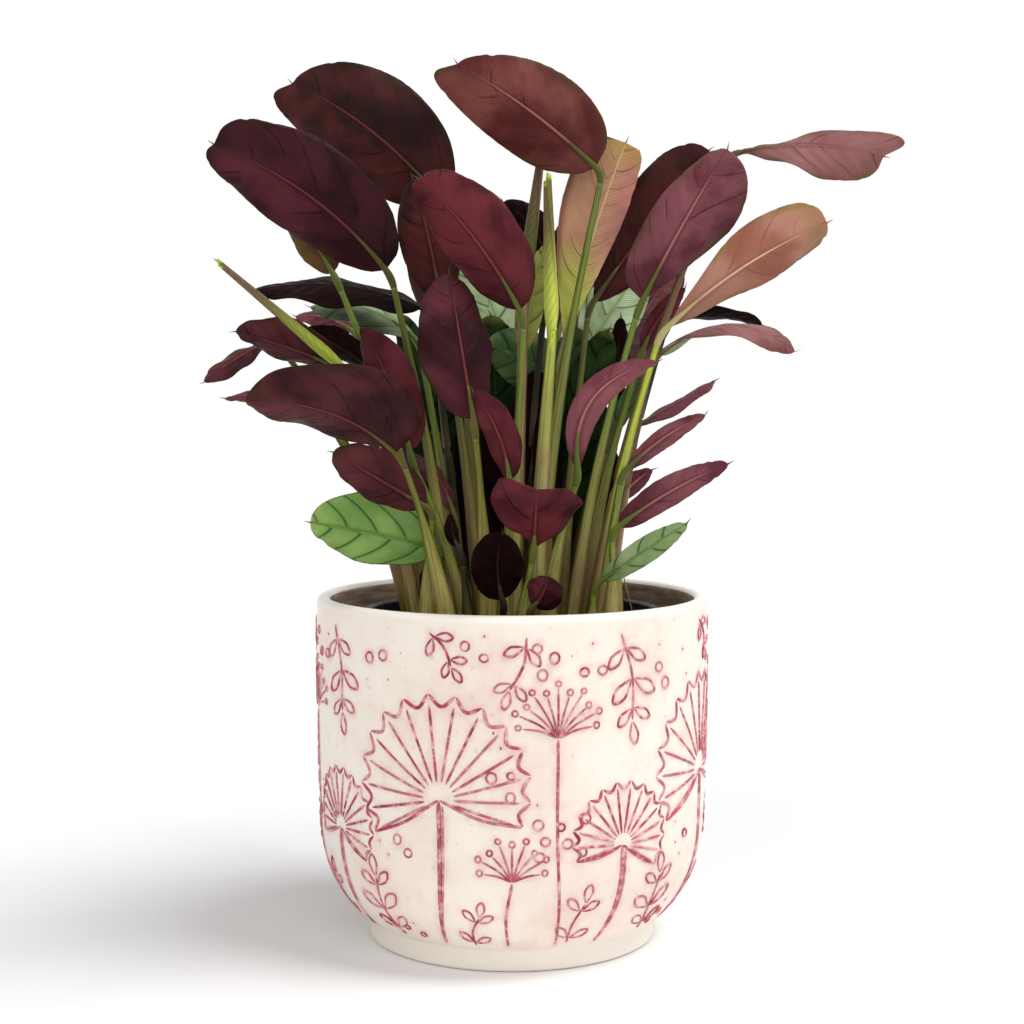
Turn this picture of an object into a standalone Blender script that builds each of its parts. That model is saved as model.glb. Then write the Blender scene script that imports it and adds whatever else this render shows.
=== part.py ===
"""A ctenanthe in its growing pot, standing in a glazed ceramic planter.

The part's origin is the middle of the planter's foot, +Z points up and -Y is the front. The
dimensions below are in millimetres, and MM turns them into metres where a shape is made. Each
leaf is one piece: petiole, pulvinus and blade. Nothing moves and nothing is fastened.
"""
import math

import bpy
import bmesh
from mathutils import Matrix, Vector

MM = 0.001
FIT_GAP = 0.3                    # between pieces that rest on each other
SHARP_ANGLE = math.radians(40)   # edges that bend more than this are shaded sharp

# Planter
POT_HEIGHT = 153.5
POT_RADIUS = 87.8
FOOT_RADIUS = 64.9
FOOT_HEIGHT = 9.5
FOOT_BEVEL = 1.6
CORNER_TOP = 52.0                # where the curved bottom corner meets the upright wall
BODY_RADIUS = POT_RADIUS - 1.4   # of the wall, there
RIM_RADIUS = POT_RADIUS - 0.2    # of the wall, at its top
FOOT_STEP = (1.6, 0.7)           # out and up from the foot's top edge to the corner's lower end
CORNER_PULLS = ((11.5, 9.8), (-0.9, -18))    # from the ends of each curve to its two handles
WALL_PULLS = ((0.9, 30), (0.4, -32.4))
HOLLOW_PULLS = ((-1, -22), (9, 4))
HOLLOW_STEP = 9.0                # how far inside the foot's radius the hollow's floor ends
WALL = 6.2
LIP_RADIUS = WALL / 2
LIP_STEPS = 6
FLOOR_THICKNESS = 10.0
POT_SEGMENTS = 64

# Growing pot
NURSERY_TOP = 146.0
NURSERY_RADIUS = 66.0            # outside, just below the rim
NURSERY_BASE_RADIUS = 48.0
NURSERY_WALL = 1.4
RIM_OUT = 2.2
RIM_DEPTH = 7.0
RIM_EDGE = 0.6                   # bevel of the rim's edges
BASE_EDGE = 1.5                  # bevel round the base
DRAIN_COUNT = 6
DRAIN_RADIUS = 4.0
DRAIN_CIRCLE = 34.0
DRAIN_SEGMENTS = 12
DRAIN_CUT = 8.0                  # length of the cutter, which passes both faces of the base
NURSERY_SEGMENTS = 48

# Soil
SOIL_TOP = 141.0
SOIL_EDGE = 1.0

# Leaves
FRONT = Vector((0, -1, 0))
UP = Vector((0, 0, 1))
PULVINUS = 9.0                   # length of the bend between petiole and blade
PETIOLE_FOOT_RADIUS = 2.4
PETIOLE_TOP_RADIUS = 1.3
PETIOLE_TAPER = 0.7              # below 1 most of the taper is near the soil
BLADE_THICKNESS = 0.9
BASE_HALF_WIDTH = 1.0
TIP_HALF_WIDTH = 0.5
GLANCE = 0.001                   # share to look ahead and back for a line's direction
NEARLY_ALONG = 0.98              # cosine past which two directions are too alike to cross
CLIMB = 0.45                     # share of its length that a petiole rises before it bends away
LEAN = 0.25                      # share of the way out that it covers while rising
ARRIVE = 0.25                    # share of its length that runs straight into the pulvinus
PETIOLE_STEPS = (0, 0.2, 0.4, 0.6, 0.8, 1, 1.5)
BLADE_STEPS = (0, 0.05, 0.15, 0.3, 0.48, 0.66, 0.82, 0.93, 1)
BLADE_RING = ((-1, 0), (-0.45, 1), (0.45, 1), (1, 0), (0.45, -1), (-0.45, -1))
ROUND_RING = tuple(math.radians(angle) for angle in (180, 120, 60, 0, -60, -120))

# foot is where the petiole leaves the soil, base and tip are the ends of the blade's midrib.
# sway bends the midrib in the blade's plane, to the right of its way from base to tip, and bow
# bends it to the front. roll turns the blade about its midrib, twist adds to that along it, lop
# makes its right half wider, cup folds both halves back and belly above 1 moves the widest place
# towards the tip. full is how pointed the blade's base is and end its tip: 0.5 is round and less is
# blunt. skew runs the tip on past the midrib's end, on the right side where it is above 0. A pair
# is for the left and the right side. tint names the colour of the blade.
LEAVES = {
    "leaf_left_outer": dict(foot=(-26, -26), base=(-53, -50, 295), tip=(-121, -70, 344),
        width=40, sway=6, bow=6, roll=-15, lop=0.06, belly=(1.05, 0.95), full=0.42, end=(0.4, 0.3),
        skew=-0.7, tint="wine"),
    "leaf_left_top": dict(foot=(-14, 4), base=(-31, 8, 329), tip=(-100, 22, 384),
        width=49, sway=5, bow=6, roll=-10, lop=0.04, end=(0.33, 0.5), skew=-1.1, tint="wine"),
    "leaf_centre_left": dict(foot=(0, -34), base=(3, -58, 278), tip=(-38, -62, 331),
        width=33, sway=3, bow=6, roll=-20, lop=0.08, end=0.4, skew=-0.6, tint="wine"),
    "leaf_centre_upright": dict(foot=(-10, -44), base=(-16, -66, 233), tip=(-26, -60, 293),
        width=32, bow=4, roll=25, lop=-0.09, tint="wine"),
    "leaf_left_behind": dict(foot=(-14, -16), base=(-31, -24, 284), tip=(-43, -20, 336),
        width=26, sway=1, bow=3, tint="wine"),
    "leaf_left_olive": dict(foot=(-33, -4), base=(-77, -32, 295), tip=(-98, -26, 324),
        width=20, sway=1, roll=-20, lop=0.07, tint="olive"),
    "leaf_left_edgewise": dict(foot=(-22, -8), base=(-40, -12, 281), tip=(-114, -14, 288),
        width=30, sway=6, roll=65, tint="wine"),
    "leaf_left_green": dict(foot=(-24, 14), base=(-45, 4, 269), tip=(-91, 8, 282),
        width=24, sway=6, roll=60, tint="green"),
    "leaf_left_wine": dict(foot=(-41, -24), base=(-75, -44, 255), tip=(-115, -56, 269),
        width=22, sway=1, roll=-40, lop=0.16, tint="wine"),
    "leaf_left_small": dict(foot=(-44, -4), base=(-106, -30, 265), tip=(-130, -44, 248),
        width=12, sway=1, roll=40, belly=1.2, tint="wine"),
    "leaf_left_far": dict(foot=(-34, 26), base=(-74, 28, 272), tip=(-101, 36, 279),
        width=12, sway=3, roll=40, tint="wine"),
    "leaf_left_dark": dict(foot=(-30, -12), base=(-58, -28, 250), tip=(-91, -20, 270),
        width=16, sway=3, roll=-40, tint="wine"),
    "leaf_left_broad": dict(foot=(-27, -52), base=(-48, -70, 219), tip=(-106, -92, 240),
        width=44, sway=7, bow=4, roll=-45, lop=0.19, belly=(1.3, 0.72), end=0.6, tint="wine"),
    "leaf_left_narrow": dict(foot=(-45, -14), base=(-88, -56, 243), tip=(-118, -66, 241),
        width=10, sway=1, roll=60, tint="wine"),
    "leaf_left_red": dict(foot=(-20, -34), base=(-43, -50, 219), tip=(-64, -46, 271),
        width=21, sway=3, roll=-20, lop=0.07, tint="wine"),
    "leaf_left_lower": dict(foot=(-36, -46), base=(-37, -50, 196), tip=(-74, -64, 219),
        width=23, roll=-15, lop=0.04, tint="wine"),
    "leaf_left_pale_green": dict(foot=(-37, -36), base=(-33, -38, 177), tip=(-85, -52, 189),
        width=31, sway=1, roll=25, lop=0.07, cup=-0.15, belly=1.05, full=0.45, tint="green"),
    "leaf_left_curled": dict(foot=(-19, -21), base=(-26, -26, 192), tip=(-44, -16, 217),
        width=12, sway=3, roll=50, tint="wine"),
    "leaf_low_sliver": dict(foot=(-18, -46), base=(-23, -46, 178), tip=(-26, -44, 192),
        width=6, sway=-1, roll=15, lop=-0.06, tint="wine"),
    "leaf_low_left": dict(foot=(-32, -29), base=(-38, -34, 155), tip=(-33, -30, 174),
        width=11, roll=-25, lop=0.09, tint="wine"),
    "leaf_centre_red": dict(foot=(-4, -52), base=(-1, -68, 208), tip=(-16, -72, 244),
        width=15, sway=3, roll=-20, lop=0.07, tint="wine"),
    "leaf_front_cupped": dict(foot=(4, -54), base=(9, -68, 180), tip=(10, -92, 205),
        width=38, roll=10, lop=0.05, belly=(2.2, 1.25), end=(0.15, 0.9), skew=-0.5, tint="wine"),
    "leaf_front_round": dict(foot=(-6, -60), base=(-4, -66, 158), tip=(-4, -70, 186),
        width=22, sway=-2, lop=-0.01, full=0.45, tint="wine"),
    "leaf_front_small": dict(foot=(8, -58), base=(9, -66, 155), tip=(14, -72, 168),
        width=11, sway=1, roll=-10, lop=0.03, tint="wine"),
    "leaf_top_crown": dict(foot=(10, -16), base=(36, -22, 341), tip=(-23, -38, 382),
        width=40, sway=2, bow=4, roll=-10, lop=0.03, belly=(0.95, 0.75), end=(0.28, 0.62), skew=-1.05,
        tint="wine"),
    "leaf_new_salmon": dict(foot=(14, -8), base=(22, -14, 261), tip=(50, -10, 353),
        width=31, sway=-2, lop=-0.29, belly=2.5, end=0.15, tint="salmon"),
    "leaf_centre_dark": dict(foot=(4, 20), base=(16, 20, 303), tip=(-4, 28, 331),
        width=17, sway=4, tint="wine"),
    "leaf_right_behind": dict(foot=(22, 4), base=(37, 6, 285), tip=(89, 14, 353),
        width=32, sway=-1, roll=15, lop=-0.05, belly=(1.5, 1.1), end=0.4, tint="wine"),
    "leaf_right_purple": dict(foot=(26, -24), base=(56, -34, 283), tip=(91, -40, 346),
        width=35, sway=-1, bow=4, roll=-15, lop=0.05, belly=(0.65, 1.9), end=0.42, tint="wine"),
    "leaf_right_orange": dict(foot=(36, -26), base=(66, -38, 271), tip=(131, -54, 314),
        width=27, sway=-4, bow=4, roll=20, lop=-0.08, belly=(2.3, 1.6), end=0.36, tint="orange"),
    "leaf_right_high": dict(foot=(34, -14), base=(100, -8, 349), tip=(163, -10, 347),
        width=24, sway=-4, roll=-30, twist=70, lop=0.2, belly=(2.2, 1.7), end=0.3, skew=-1.8,
        tint="wine"),
    "leaf_right_drooping": dict(foot=(42, -14), base=(64, -24, 260), tip=(121, -34, 261),
        width=20, sway=-12, roll=-75, twist=60, tint="wine"),
    "leaf_right_edgewise": dict(foot=(40, 2), base=(74, 4, 276), tip=(113, 8, 274),
        width=14, sway=-3, roll=70, tint="wine"),
    "leaf_right_slim": dict(foot=(31, -5), base=(58, -4, 262), tip=(77, -2, 290),
        width=9, sway=-2, tint="wine"),
    "leaf_right_curved": dict(foot=(14, -46), base=(27, -66, 213), tip=(59, -72, 256),
        width=13, sway=-12, bow=5, tint="wine"),
    "leaf_right_narrow": dict(foot=(44, 15), base=(58, 13, 229), tip=(93, 20, 249),
        width=14, roll=-70, tint="wine"),
    "leaf_right_lance": dict(foot=(38, -38), base=(50, -34, 211), tip=(82, -42, 234),
        width=9, sway=-2, roll=-20, lop=-0.05, tint="wine"),
    "leaf_right_low": dict(foot=(42, -44), base=(46, -44, 187), tip=(90, -60, 214),
        width=13, sway=-2, roll=-15, lop=-0.1, belly=0.8, tint="wine"),
    "leaf_right_stub": dict(foot=(47, -5), base=(48, -3, 196), tip=(63, 1, 209),
        width=9, sway=-1, tint="wine"),
    "leaf_right_pale_green": dict(foot=(33, -50), base=(38, -54, 165), tip=(72, -70, 190),
        width=11, lop=-0.04, cup=-0.15, tint="green"),
    "leaf_inner_pale": dict(foot=(-6, 24), base=(-4, 46, 266), tip=(-20, 60, 312),
        width=32, sway=1, roll=10, tint="green"),
    "leaf_inner_yellow": dict(foot=(-2, 2), base=(5, 0, 262), tip=(15, 10, 310),
        width=13, sway=-1, tint="lime"),
    "leaf_inner_round": dict(foot=(6, 34), base=(19, 28, 250), tip=(-8, 32, 269),
        width=20, sway=3, tint="green"),
    "leaf_inner_mint": dict(foot=(16, 32), base=(35, 32, 263), tip=(62, 50, 305),
        width=28, tint="green"),
    "leaf_inner_mid": dict(foot=(14, 12), base=(31, 10, 236), tip=(45, 14, 271),
        width=13, sway=-1, tint="green"),
    "leaf_inner_slim": dict(foot=(30, 6), base=(45, 8, 224), tip=(59, 12, 253),
        width=8, tint="green"),
    "leaf_inner_olive": dict(foot=(-16, 20), base=(-38, 26, 236), tip=(-52, 36, 280),
        width=16, sway=1, tint="olive"),
    "leaf_inner_shade": dict(foot=(-22, 28), base=(-29, 16, 192), tip=(-36, 22, 227),
        width=12, tint="green"),
    "leaf_inner_wine": dict(foot=(34, 26), base=(35, 24, 152), tip=(48, 28, 217),
        width=14, sway=-2, tint="wine"),
    "leaf_inner_plum": dict(foot=(25, 20), base=(47, 18, 238), tip=(50, 22, 278),
        width=11, tint="wine"),
    "leaf_back_left": dict(foot=(-10, 44), base=(-20, 62, 274), tip=(-44, 112, 334),
        width=34, sway=-3, tint="wine"),
    "leaf_back_centre": dict(foot=(8, 46), base=(23, 66, 274), tip=(44, 108, 346),
        width=34, tint="wine"),
    "leaf_back_right": dict(foot=(24, 40), base=(47, 60, 250), tip=(85, 104, 308),
        width=32, sway=-3, tint="wine"),
    "leaf_back_low": dict(foot=(-24, 38), base=(-44, 54, 226), tip=(-74, 96, 255),
        width=28, sway=3, tint="wine"),
}

# Leaves that are still rolled up: the roll starts at base and ends at tip.
SPEARS = {
    "spear_left": dict(foot=(-37, -14), base=(-71, -38, 254), tip=(-122, -50, 298),
        roll_radius=3.2, stem_radius=2.4, tip_radius=1.2, tint="olive"),
    "spear_lime": dict(foot=(10, -28), base=(17, -30, 270), tip=(15, -30, 335),
        roll_radius=3.0, stem_radius=5.0, tip_radius=1.8, tint="lime"),
    "spear_brown": dict(foot=(2, -10), base=(6, -8, 298), tip=(13, -8, 351),
        roll_radius=3.0, stem_radius=3.0, tip_radius=1.6, tint="brown"),
}

COLOURS = {
    "glaze": ((0.93, 0.85, 0.76), 0.25),
    "black_plastic": ((0.012, 0.012, 0.013), 0.45),
    "soil": ((0.022, 0.014, 0.009), 0.95),
    "wine": ((0.085, 0.012, 0.022), 0.45),
    "olive": ((0.12, 0.08, 0.02), 0.5),
    "orange": ((0.33, 0.10, 0.06), 0.5),
    "salmon": ((0.45, 0.25, 0.10), 0.5),
    "green": ((0.17, 0.30, 0.09), 0.5),
    "lime": ((0.42, 0.50, 0.07), 0.5),
    "brown": ((0.16, 0.09, 0.04), 0.5),
}


def clear_scene():
    """Remove every object, so that only the part is left."""
    for thing in list(bpy.data.objects):
        bpy.data.objects.remove(thing, do_unlink=True)


def material(name):
    """Return the Principled material of that name, made on first use."""
    known = bpy.data.materials.get(name)
    if known:
        return known
    colour, roughness = COLOURS[name]
    made = bpy.data.materials.new(name)
    made.use_nodes = True
    shader = made.node_tree.nodes["Principled BSDF"]
    shader.inputs["Base Color"].default_value = (*colour, 1)
    shader.inputs["Roughness"].default_value = roughness
    shader.inputs["Metallic"].default_value = 0
    return made


def new_object(name, mesh, finish):
    """Put a mesh into the scene as a smooth-shaded object with one material."""
    thing = bpy.data.objects.new(name, mesh)
    bpy.context.collection.objects.link(thing)
    mesh.materials.append(material(finish))
    mesh.shade_smooth()
    mesh.set_sharp_from_angle(angle=SHARP_ANGLE)
    return thing


def bezier(start, start_handle, end_handle, end, share):
    """Return the point at a share of the way along a cubic curve."""
    rest = 1 - share
    return (start * rest ** 3 + start_handle * (3 * rest * rest * share)
            + end_handle * (3 * rest * share * share) + end * share ** 3)


def curve_between(start, end, pulls, steps):
    """Return points along a cubic curve, both ends included, with a pull from each end to its handle."""
    start = Vector(start)
    end = Vector(end)
    handles = (start + Vector(pulls[0]), end + Vector(pulls[1]))
    return [tuple(bezier(start, *handles, end, step / steps)) for step in range(steps + 1)]


def turn(name, profile, segments, finish):
    """Revolve an outline of (radius, height) about Z.

    The outline starts and ends on the axis and runs up its inner side and down its outer one.
    """
    rings = profile[1:-1]
    verts = [(0, 0, profile[0][1] * MM)]
    for radius, height in rings:
        for step in range(segments):
            angle = 2 * math.pi * step / segments
            verts.append((radius * MM * math.cos(angle), radius * MM * math.sin(angle), height * MM))
    verts.append((0, 0, profile[-1][1] * MM))
    last = len(verts) - 1
    faces = []
    for step in range(segments):
        after = (step + 1) % segments
        faces.append((0, 1 + step, 1 + after))
        for row in range(len(rings) - 1):
            low = 1 + row * segments
            high = low + segments
            faces.append((low + step, high + step, high + after, low + after))
        top = 1 + (len(rings) - 1) * segments
        faces.append((top + after, top + step, last))
    mesh = bpy.data.meshes.new(name)
    mesh.from_pydata(verts, [], faces)
    mesh.update()
    return new_object(name, mesh, finish)


def planter_outline():
    """Outline of the planter, from the middle of its floor inside to the middle of its foot."""
    lip_height = POT_HEIGHT - LIP_RADIUS
    corner = curve_between((FOOT_RADIUS + FOOT_STEP[0], FOOT_HEIGHT + FOOT_STEP[1]), (BODY_RADIUS, CORNER_TOP),
                           CORNER_PULLS, 7)
    wall = curve_between((BODY_RADIUS, CORNER_TOP), (RIM_RADIUS, lip_height), WALL_PULLS, 4)
    inside = [(radius - WALL, height) for radius, height in wall]
    hollow = curve_between(inside[0], (FOOT_RADIUS - HOLLOW_STEP, FLOOR_THICKNESS), HOLLOW_PULLS, 5)
    lip = []
    for step in range(1, LIP_STEPS):
        angle = math.pi * (1 - step / LIP_STEPS)
        radius = RIM_RADIUS - LIP_RADIUS + LIP_RADIUS * math.cos(angle)
        lip.append((radius, lip_height + LIP_RADIUS * math.sin(angle)))
    foot = [(FOOT_RADIUS, FOOT_HEIGHT), (FOOT_RADIUS, FOOT_BEVEL), (FOOT_RADIUS - FOOT_BEVEL, 0)]
    down_outside = wall[:0:-1] + corner[::-1] + foot
    return [(0, FLOOR_THICKNESS)] + hollow[:0:-1] + inside + lip + down_outside + [(0, 0)]


def nursery_outline():
    """Outline of the growing pot, from the middle of its floor inside to below it outside."""
    bottom = FLOOR_THICKNESS + FIT_GAP
    floor = bottom + NURSERY_WALL
    inside = NURSERY_RADIUS - NURSERY_WALL
    rim_radius = NURSERY_RADIUS + RIM_OUT
    under_rim = NURSERY_TOP - RIM_DEPTH
    return [(0, floor), (NURSERY_BASE_RADIUS - NURSERY_WALL, floor), (inside, under_rim),
            (inside, NURSERY_TOP - RIM_EDGE), (inside + RIM_EDGE, NURSERY_TOP),
            (rim_radius - RIM_EDGE, NURSERY_TOP), (rim_radius, NURSERY_TOP - RIM_EDGE),
            (rim_radius, under_rim), (NURSERY_RADIUS, under_rim),
            (NURSERY_BASE_RADIUS, bottom + BASE_EDGE), (NURSERY_BASE_RADIUS - BASE_EDGE, bottom), (0, bottom)]


def soil_outline():
    """Outline of the soil, which follows the growing pot's taper."""
    bottom = FLOOR_THICKNESS + FIT_GAP + NURSERY_WALL + FIT_GAP
    radius = NURSERY_RADIUS - NURSERY_WALL - FIT_GAP
    base_radius = NURSERY_BASE_RADIUS - NURSERY_WALL - FIT_GAP
    return [(0, SOIL_TOP), (radius - SOIL_EDGE, SOIL_TOP), (radius, SOIL_TOP - SOIL_EDGE),
            (radius, NURSERY_TOP - RIM_DEPTH), (base_radius, bottom), (0, bottom)]


def drain_cutters():
    """Make the round bars that bore the growing pot's drain holes."""
    cutter_mesh = bpy.data.meshes.new("drain_cutter")
    work = bmesh.new()
    for step in range(DRAIN_COUNT):
        angle = 2 * math.pi * step / DRAIN_COUNT
        place = Matrix.Translation(Vector((math.cos(angle), math.sin(angle), 0)) * DRAIN_CIRCLE * MM
                                   + UP * (FLOOR_THICKNESS + FIT_GAP + NURSERY_WALL / 2) * MM)
        bmesh.ops.create_cone(work, cap_ends=True, segments=DRAIN_SEGMENTS, radius1=DRAIN_RADIUS * MM,
                              radius2=DRAIN_RADIUS * MM, depth=DRAIN_CUT * MM, matrix=place)
    work.to_mesh(cutter_mesh)
    work.free()
    cutter = bpy.data.objects.new("drain_cutter", cutter_mesh)
    bpy.context.collection.objects.link(cutter)
    cutter.hide_render = True
    cutter.display_type = "WIRE"
    return cutter


def make_holder():
    """Make the planter, the growing pot that stands in it and the soil."""
    turn("pot", planter_outline(), POT_SEGMENTS, "glaze")
    nursery = turn("nursery_pot", nursery_outline(), NURSERY_SEGMENTS, "black_plastic")
    holes = nursery.modifiers.new("drain_holes", "BOOLEAN")
    holes.operation = "DIFFERENCE"
    holes.object = drain_cutters()
    turn("soil", soil_outline(), NURSERY_SEGMENTS, "soil")


class Course:
    """The line that a leaf follows from the soil to its tip."""

    def __init__(self, foot, base, tip, sway=0, bow=0, roll=0, twist=0):
        self.foot = Vector((*foot, SOIL_TOP + FIT_GAP))
        self.base = Vector(base)
        self.tip = Vector(tip)
        self.chord = self.tip - self.base
        self.along = self.chord.normalized()
        self.facing = (FRONT - self.along * FRONT.dot(self.along)).normalized()
        self.right = self.along.cross(self.facing)
        self.bend = self.facing * bow + self.right * sway
        self.roll = roll
        self.twist = twist
        start = (self.chord + self.bend * 4).normalized()
        self.knee = self.base - start * PULVINUS / 2
        reach = (self.knee - self.foot).length
        out = Vector((self.base.x - self.foot.x, self.base.y - self.foot.y, 0))
        self.rise = self.foot + UP * reach * CLIMB + out * LEAN
        arriving = (self.knee - self.rise).normalized()
        self.joint = self.knee - arriving * PULVINUS / 2
        self.run_in = self.joint - arriving * reach * ARRIVE

    def stem(self, share):
        """Point on the petiole for 0 to 1, and on the pulvinus for 1 to 2."""
        if share <= 1:
            return bezier(self.foot, self.rise, self.run_in, self.joint, share)
        share -= 1
        rest = 1 - share
        return self.joint * rest ** 2 + self.knee * (2 * rest * share) + self.base * share ** 2

    def midrib(self, share):
        """Point on the blade's midrib, 0 at its base and 1 at its tip."""
        return self.base + self.chord * share + self.bend * 4 * share * (1 - share)

    def stem_axes(self, share):
        """Two directions across the stem, level at its foot."""
        ahead = UP
        if share:
            ahead = (self.stem(min(share + GLANCE, 2)) - self.stem(share - GLANCE)).normalized()
        side = self.right if abs(self.right.dot(ahead)) < NEARLY_ALONG else self.facing
        side = (side - ahead * side.dot(ahead)).normalized()
        return side, side.cross(ahead)

    def blade_axes(self, share):
        """Directions to the blade's right and out of the face that it turns to the front."""
        ahead = (self.midrib(min(share + GLANCE, 1)) - self.midrib(max(share - GLANCE, 0))).normalized()
        angle = math.radians(self.roll + self.twist * (share - 0.5))
        out = Matrix.Rotation(angle, 3, self.along) @ self.facing
        out = (out - ahead * out.dot(ahead)).normalized()
        return ahead.cross(out), out


def circle(middle, side, out, radius):
    """Six points round a stem."""
    return [middle + (side * math.cos(angle) + out * math.sin(angle)) * radius for angle in ROUND_RING]


def side_value(value, across):
    """Pick the left or right one of a pair, or a value that both sides share."""
    if isinstance(value, tuple):
        return value[across > 0]
    return value


def half_width(share, width, belly, full, end):
    """Half the blade's width at a share of its length."""
    bluntness = full + (end - full) * share
    return width / 2 * abs(math.sin(math.pi * share ** belly)) ** bluntness


def loft(name, rings, finish):
    """Skin rings of six points, and close both ends with a fan.

    The back's faces are split the other way from the front's, so both sides of a twist bend alike.
    """
    count = len(ROUND_RING)
    points = [point for ring in rings for point in ring]
    for ring in (rings[0], rings[-1]):
        points.append(sum(ring, Vector()) / count)
    faces = []
    last = (len(rings) - 1) * count
    for step in range(count):
        after = (step + 1) % count
        for row in range(0, last, count):
            low, low_after = row + step, row + after
            high, high_after = low + count, low_after + count
            if step < count / 2:
                faces += [(low, low_after, high_after), (low, high_after, high)]
            else:
                faces += [(low, low_after, high), (low_after, high_after, high)]
        faces.append((len(points) - 2, after, step))
        faces.append((len(points) - 1, last + step, last + after))
    mesh = bpy.data.meshes.new(name)
    mesh.from_pydata([point * MM for point in points], [], faces)
    mesh.update()
    return new_object(name, mesh, finish)


def make_leaf(name, width, tint, lop=0, cup=0.22, belly=0.95, full=0.5, end=None, skew=0, **course):
    """Make one open leaf."""
    line = Course(**course)
    end = full if end is None else end
    rings = []
    for share in PETIOLE_STEPS:
        taper = min(share, 1) ** PETIOLE_TAPER
        radius = PETIOLE_FOOT_RADIUS + (PETIOLE_TOP_RADIUS - PETIOLE_FOOT_RADIUS) * taper
        rings.append(circle(line.stem(share), *line.stem_axes(share), radius))
    for share in BLADE_STEPS:
        side, out = line.blade_axes(share)
        thick = BLADE_THICKNESS / 2 if share else BLADE_THICKNESS
        least = BASE_HALF_WIDTH if share < 0.5 else TIP_HALF_WIDTH
        ring = []
        for across, face in BLADE_RING:
            half = half_width(share, width, side_value(belly, across), full, side_value(end, across))
            half = max(half, least)
            reach = half * across * (1 + math.copysign(lop, across))
            ahead = abs(skew * reach) * share ** 3 if across * skew > 0 else 0
            ring.append(line.midrib(share) + side * reach + line.along * ahead
                        + out * (face * thick - cup * half * across ** 2))
        rings.append(ring)
    loft(name, rings, tint)


def make_spear(name, roll_radius, stem_radius, tip_radius, tint, **course):
    """Make one leaf that is still rolled up on its stem."""
    line = Course(**course)
    rings = []
    for share in PETIOLE_STEPS:
        radius = stem_radius + (roll_radius - stem_radius) * min(share, 1)
        rings.append(circle(line.stem(share), *line.stem_axes(share), radius))
    for share in BLADE_STEPS:
        radius = roll_radius + (tip_radius - roll_radius) * share
        rings.append(circle(line.midrib(share), *line.blade_axes(share), radius))
    loft(name, rings, tint)


def main():
    clear_scene()
    make_holder()
    for name, sizes in LEAVES.items():
        make_leaf(name, **sizes)
    for name, sizes in SPEARS.items():
        make_spear(name, **sizes)


main()
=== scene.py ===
"""The looks of the potted ctenanthe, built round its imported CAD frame.

Sizes are in millimetres, in the part's own frame: +Z up, -Y the front, the origin under the
planter's foot. MM turns them into Blender's metres. The leaves' places repeat the ones in the
part's source, and this script adds their fine surface: veins, midribs, waves and tips.
"""
import math
import random

import bmesh
import bpy
import numpy as np
from mathutils import Euler, Matrix, Vector, noise
from mathutils.kdtree import KDTree


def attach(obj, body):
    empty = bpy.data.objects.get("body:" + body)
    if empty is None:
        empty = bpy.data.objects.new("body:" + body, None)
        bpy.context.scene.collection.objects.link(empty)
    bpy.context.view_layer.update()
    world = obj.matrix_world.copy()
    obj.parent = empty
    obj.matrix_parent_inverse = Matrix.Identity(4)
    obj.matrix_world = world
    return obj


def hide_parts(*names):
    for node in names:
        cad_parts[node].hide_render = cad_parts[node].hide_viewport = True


MM = 0.001
BODY = "root"

# Planter, as in the part's source
POT_HEIGHT = 153.5
POT_RADIUS = 87.8
FOOT_RADIUS = 64.9
FOOT_HEIGHT = 9.5
FOOT_BEVEL = 1.6
CORNER_TOP = 52.0
WALL = 6.2
LIP_RADIUS = WALL / 2
POT_SEGMENTS = 320
FLOOR_THICKNESS = 10.0
NURSERY_TOP = 146.0
NURSERY_RADIUS = 66.0
NURSERY_WALL = 1.4
SOIL_TOP = 141.0
FIT_GAP = 0.3

# Leaves, as in the part's source
FRONT = Vector((0, -1, 0))
UP = Vector((0, 0, 1))
PULVINUS = 9.0
PETIOLE_FOOT_RADIUS = 2.4
PETIOLE_TOP_RADIUS = 1.3
PETIOLE_TAPER = 0.7
GLANCE = 0.001                   # share to look ahead and back for a line's direction
NEARLY_ALONG = 0.98              # cosine past which two directions are too alike to cross
CLIMB = 0.45
LEAN = 0.25
ARRIVE = 0.25

# Fine surface of a leaf
BLADE_ROWS = 60
BLADE_COLUMNS = 26
STEM_ROWS = 34
STEM_SIDES = 12
SHEET = 0.45                     # thickness of a blade
SHEATH_TOP = 0.62                # share of its length up to which a petiole is a sheath
CURL_START = 0.66                # share of a half blade past which a margin can curl

# Camera
EYE = Vector((0, -808.3, 242.3))
PITCH = 3.7                      # degrees below level
LENS = 63.28
SENSOR = 36.0

# Light: azimuth and elevation in degrees, how wide the lamp is, and its strength
LAMPS = {
    "key": (-14, 60, 28, 2.1),
    "front": (-98, 32, 70, 0.8),
}
WORLD_LEVEL = 0.4
FLOOR_SIZE = 40.0                # metres each way
FLOOR_GAP = 0.2
FLOOR_COLOUR = (243, 243, 243)
FLOOR_GLOW = 0.04
LEAF_GLOSS = 0.22                # specular level of upper faces and petioles
UNDER_GLOSS = 0.09               # of undersides
DARK_GLOSS = 0.02                # and of the leaves in painted shade
UNDER_ROUGHNESS = 0.44           # of undersides
UPPER_ROUGHNESS = 0.40           # of upper faces
STEM_ROUGHNESS = 0.42            # and of petioles
SPECK_LIMIT = 0.95               # a material's dots stand on the cells above this share
OUTER_STEMS = 48                 # reach from the middle past which petioles get no painted shade
INNER_PAINTED_SHADE = 0.5                # how dark painted shade makes the innermost ones
STROKE = 1.0                     # width of the planter's lines, against the ones drawn

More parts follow.
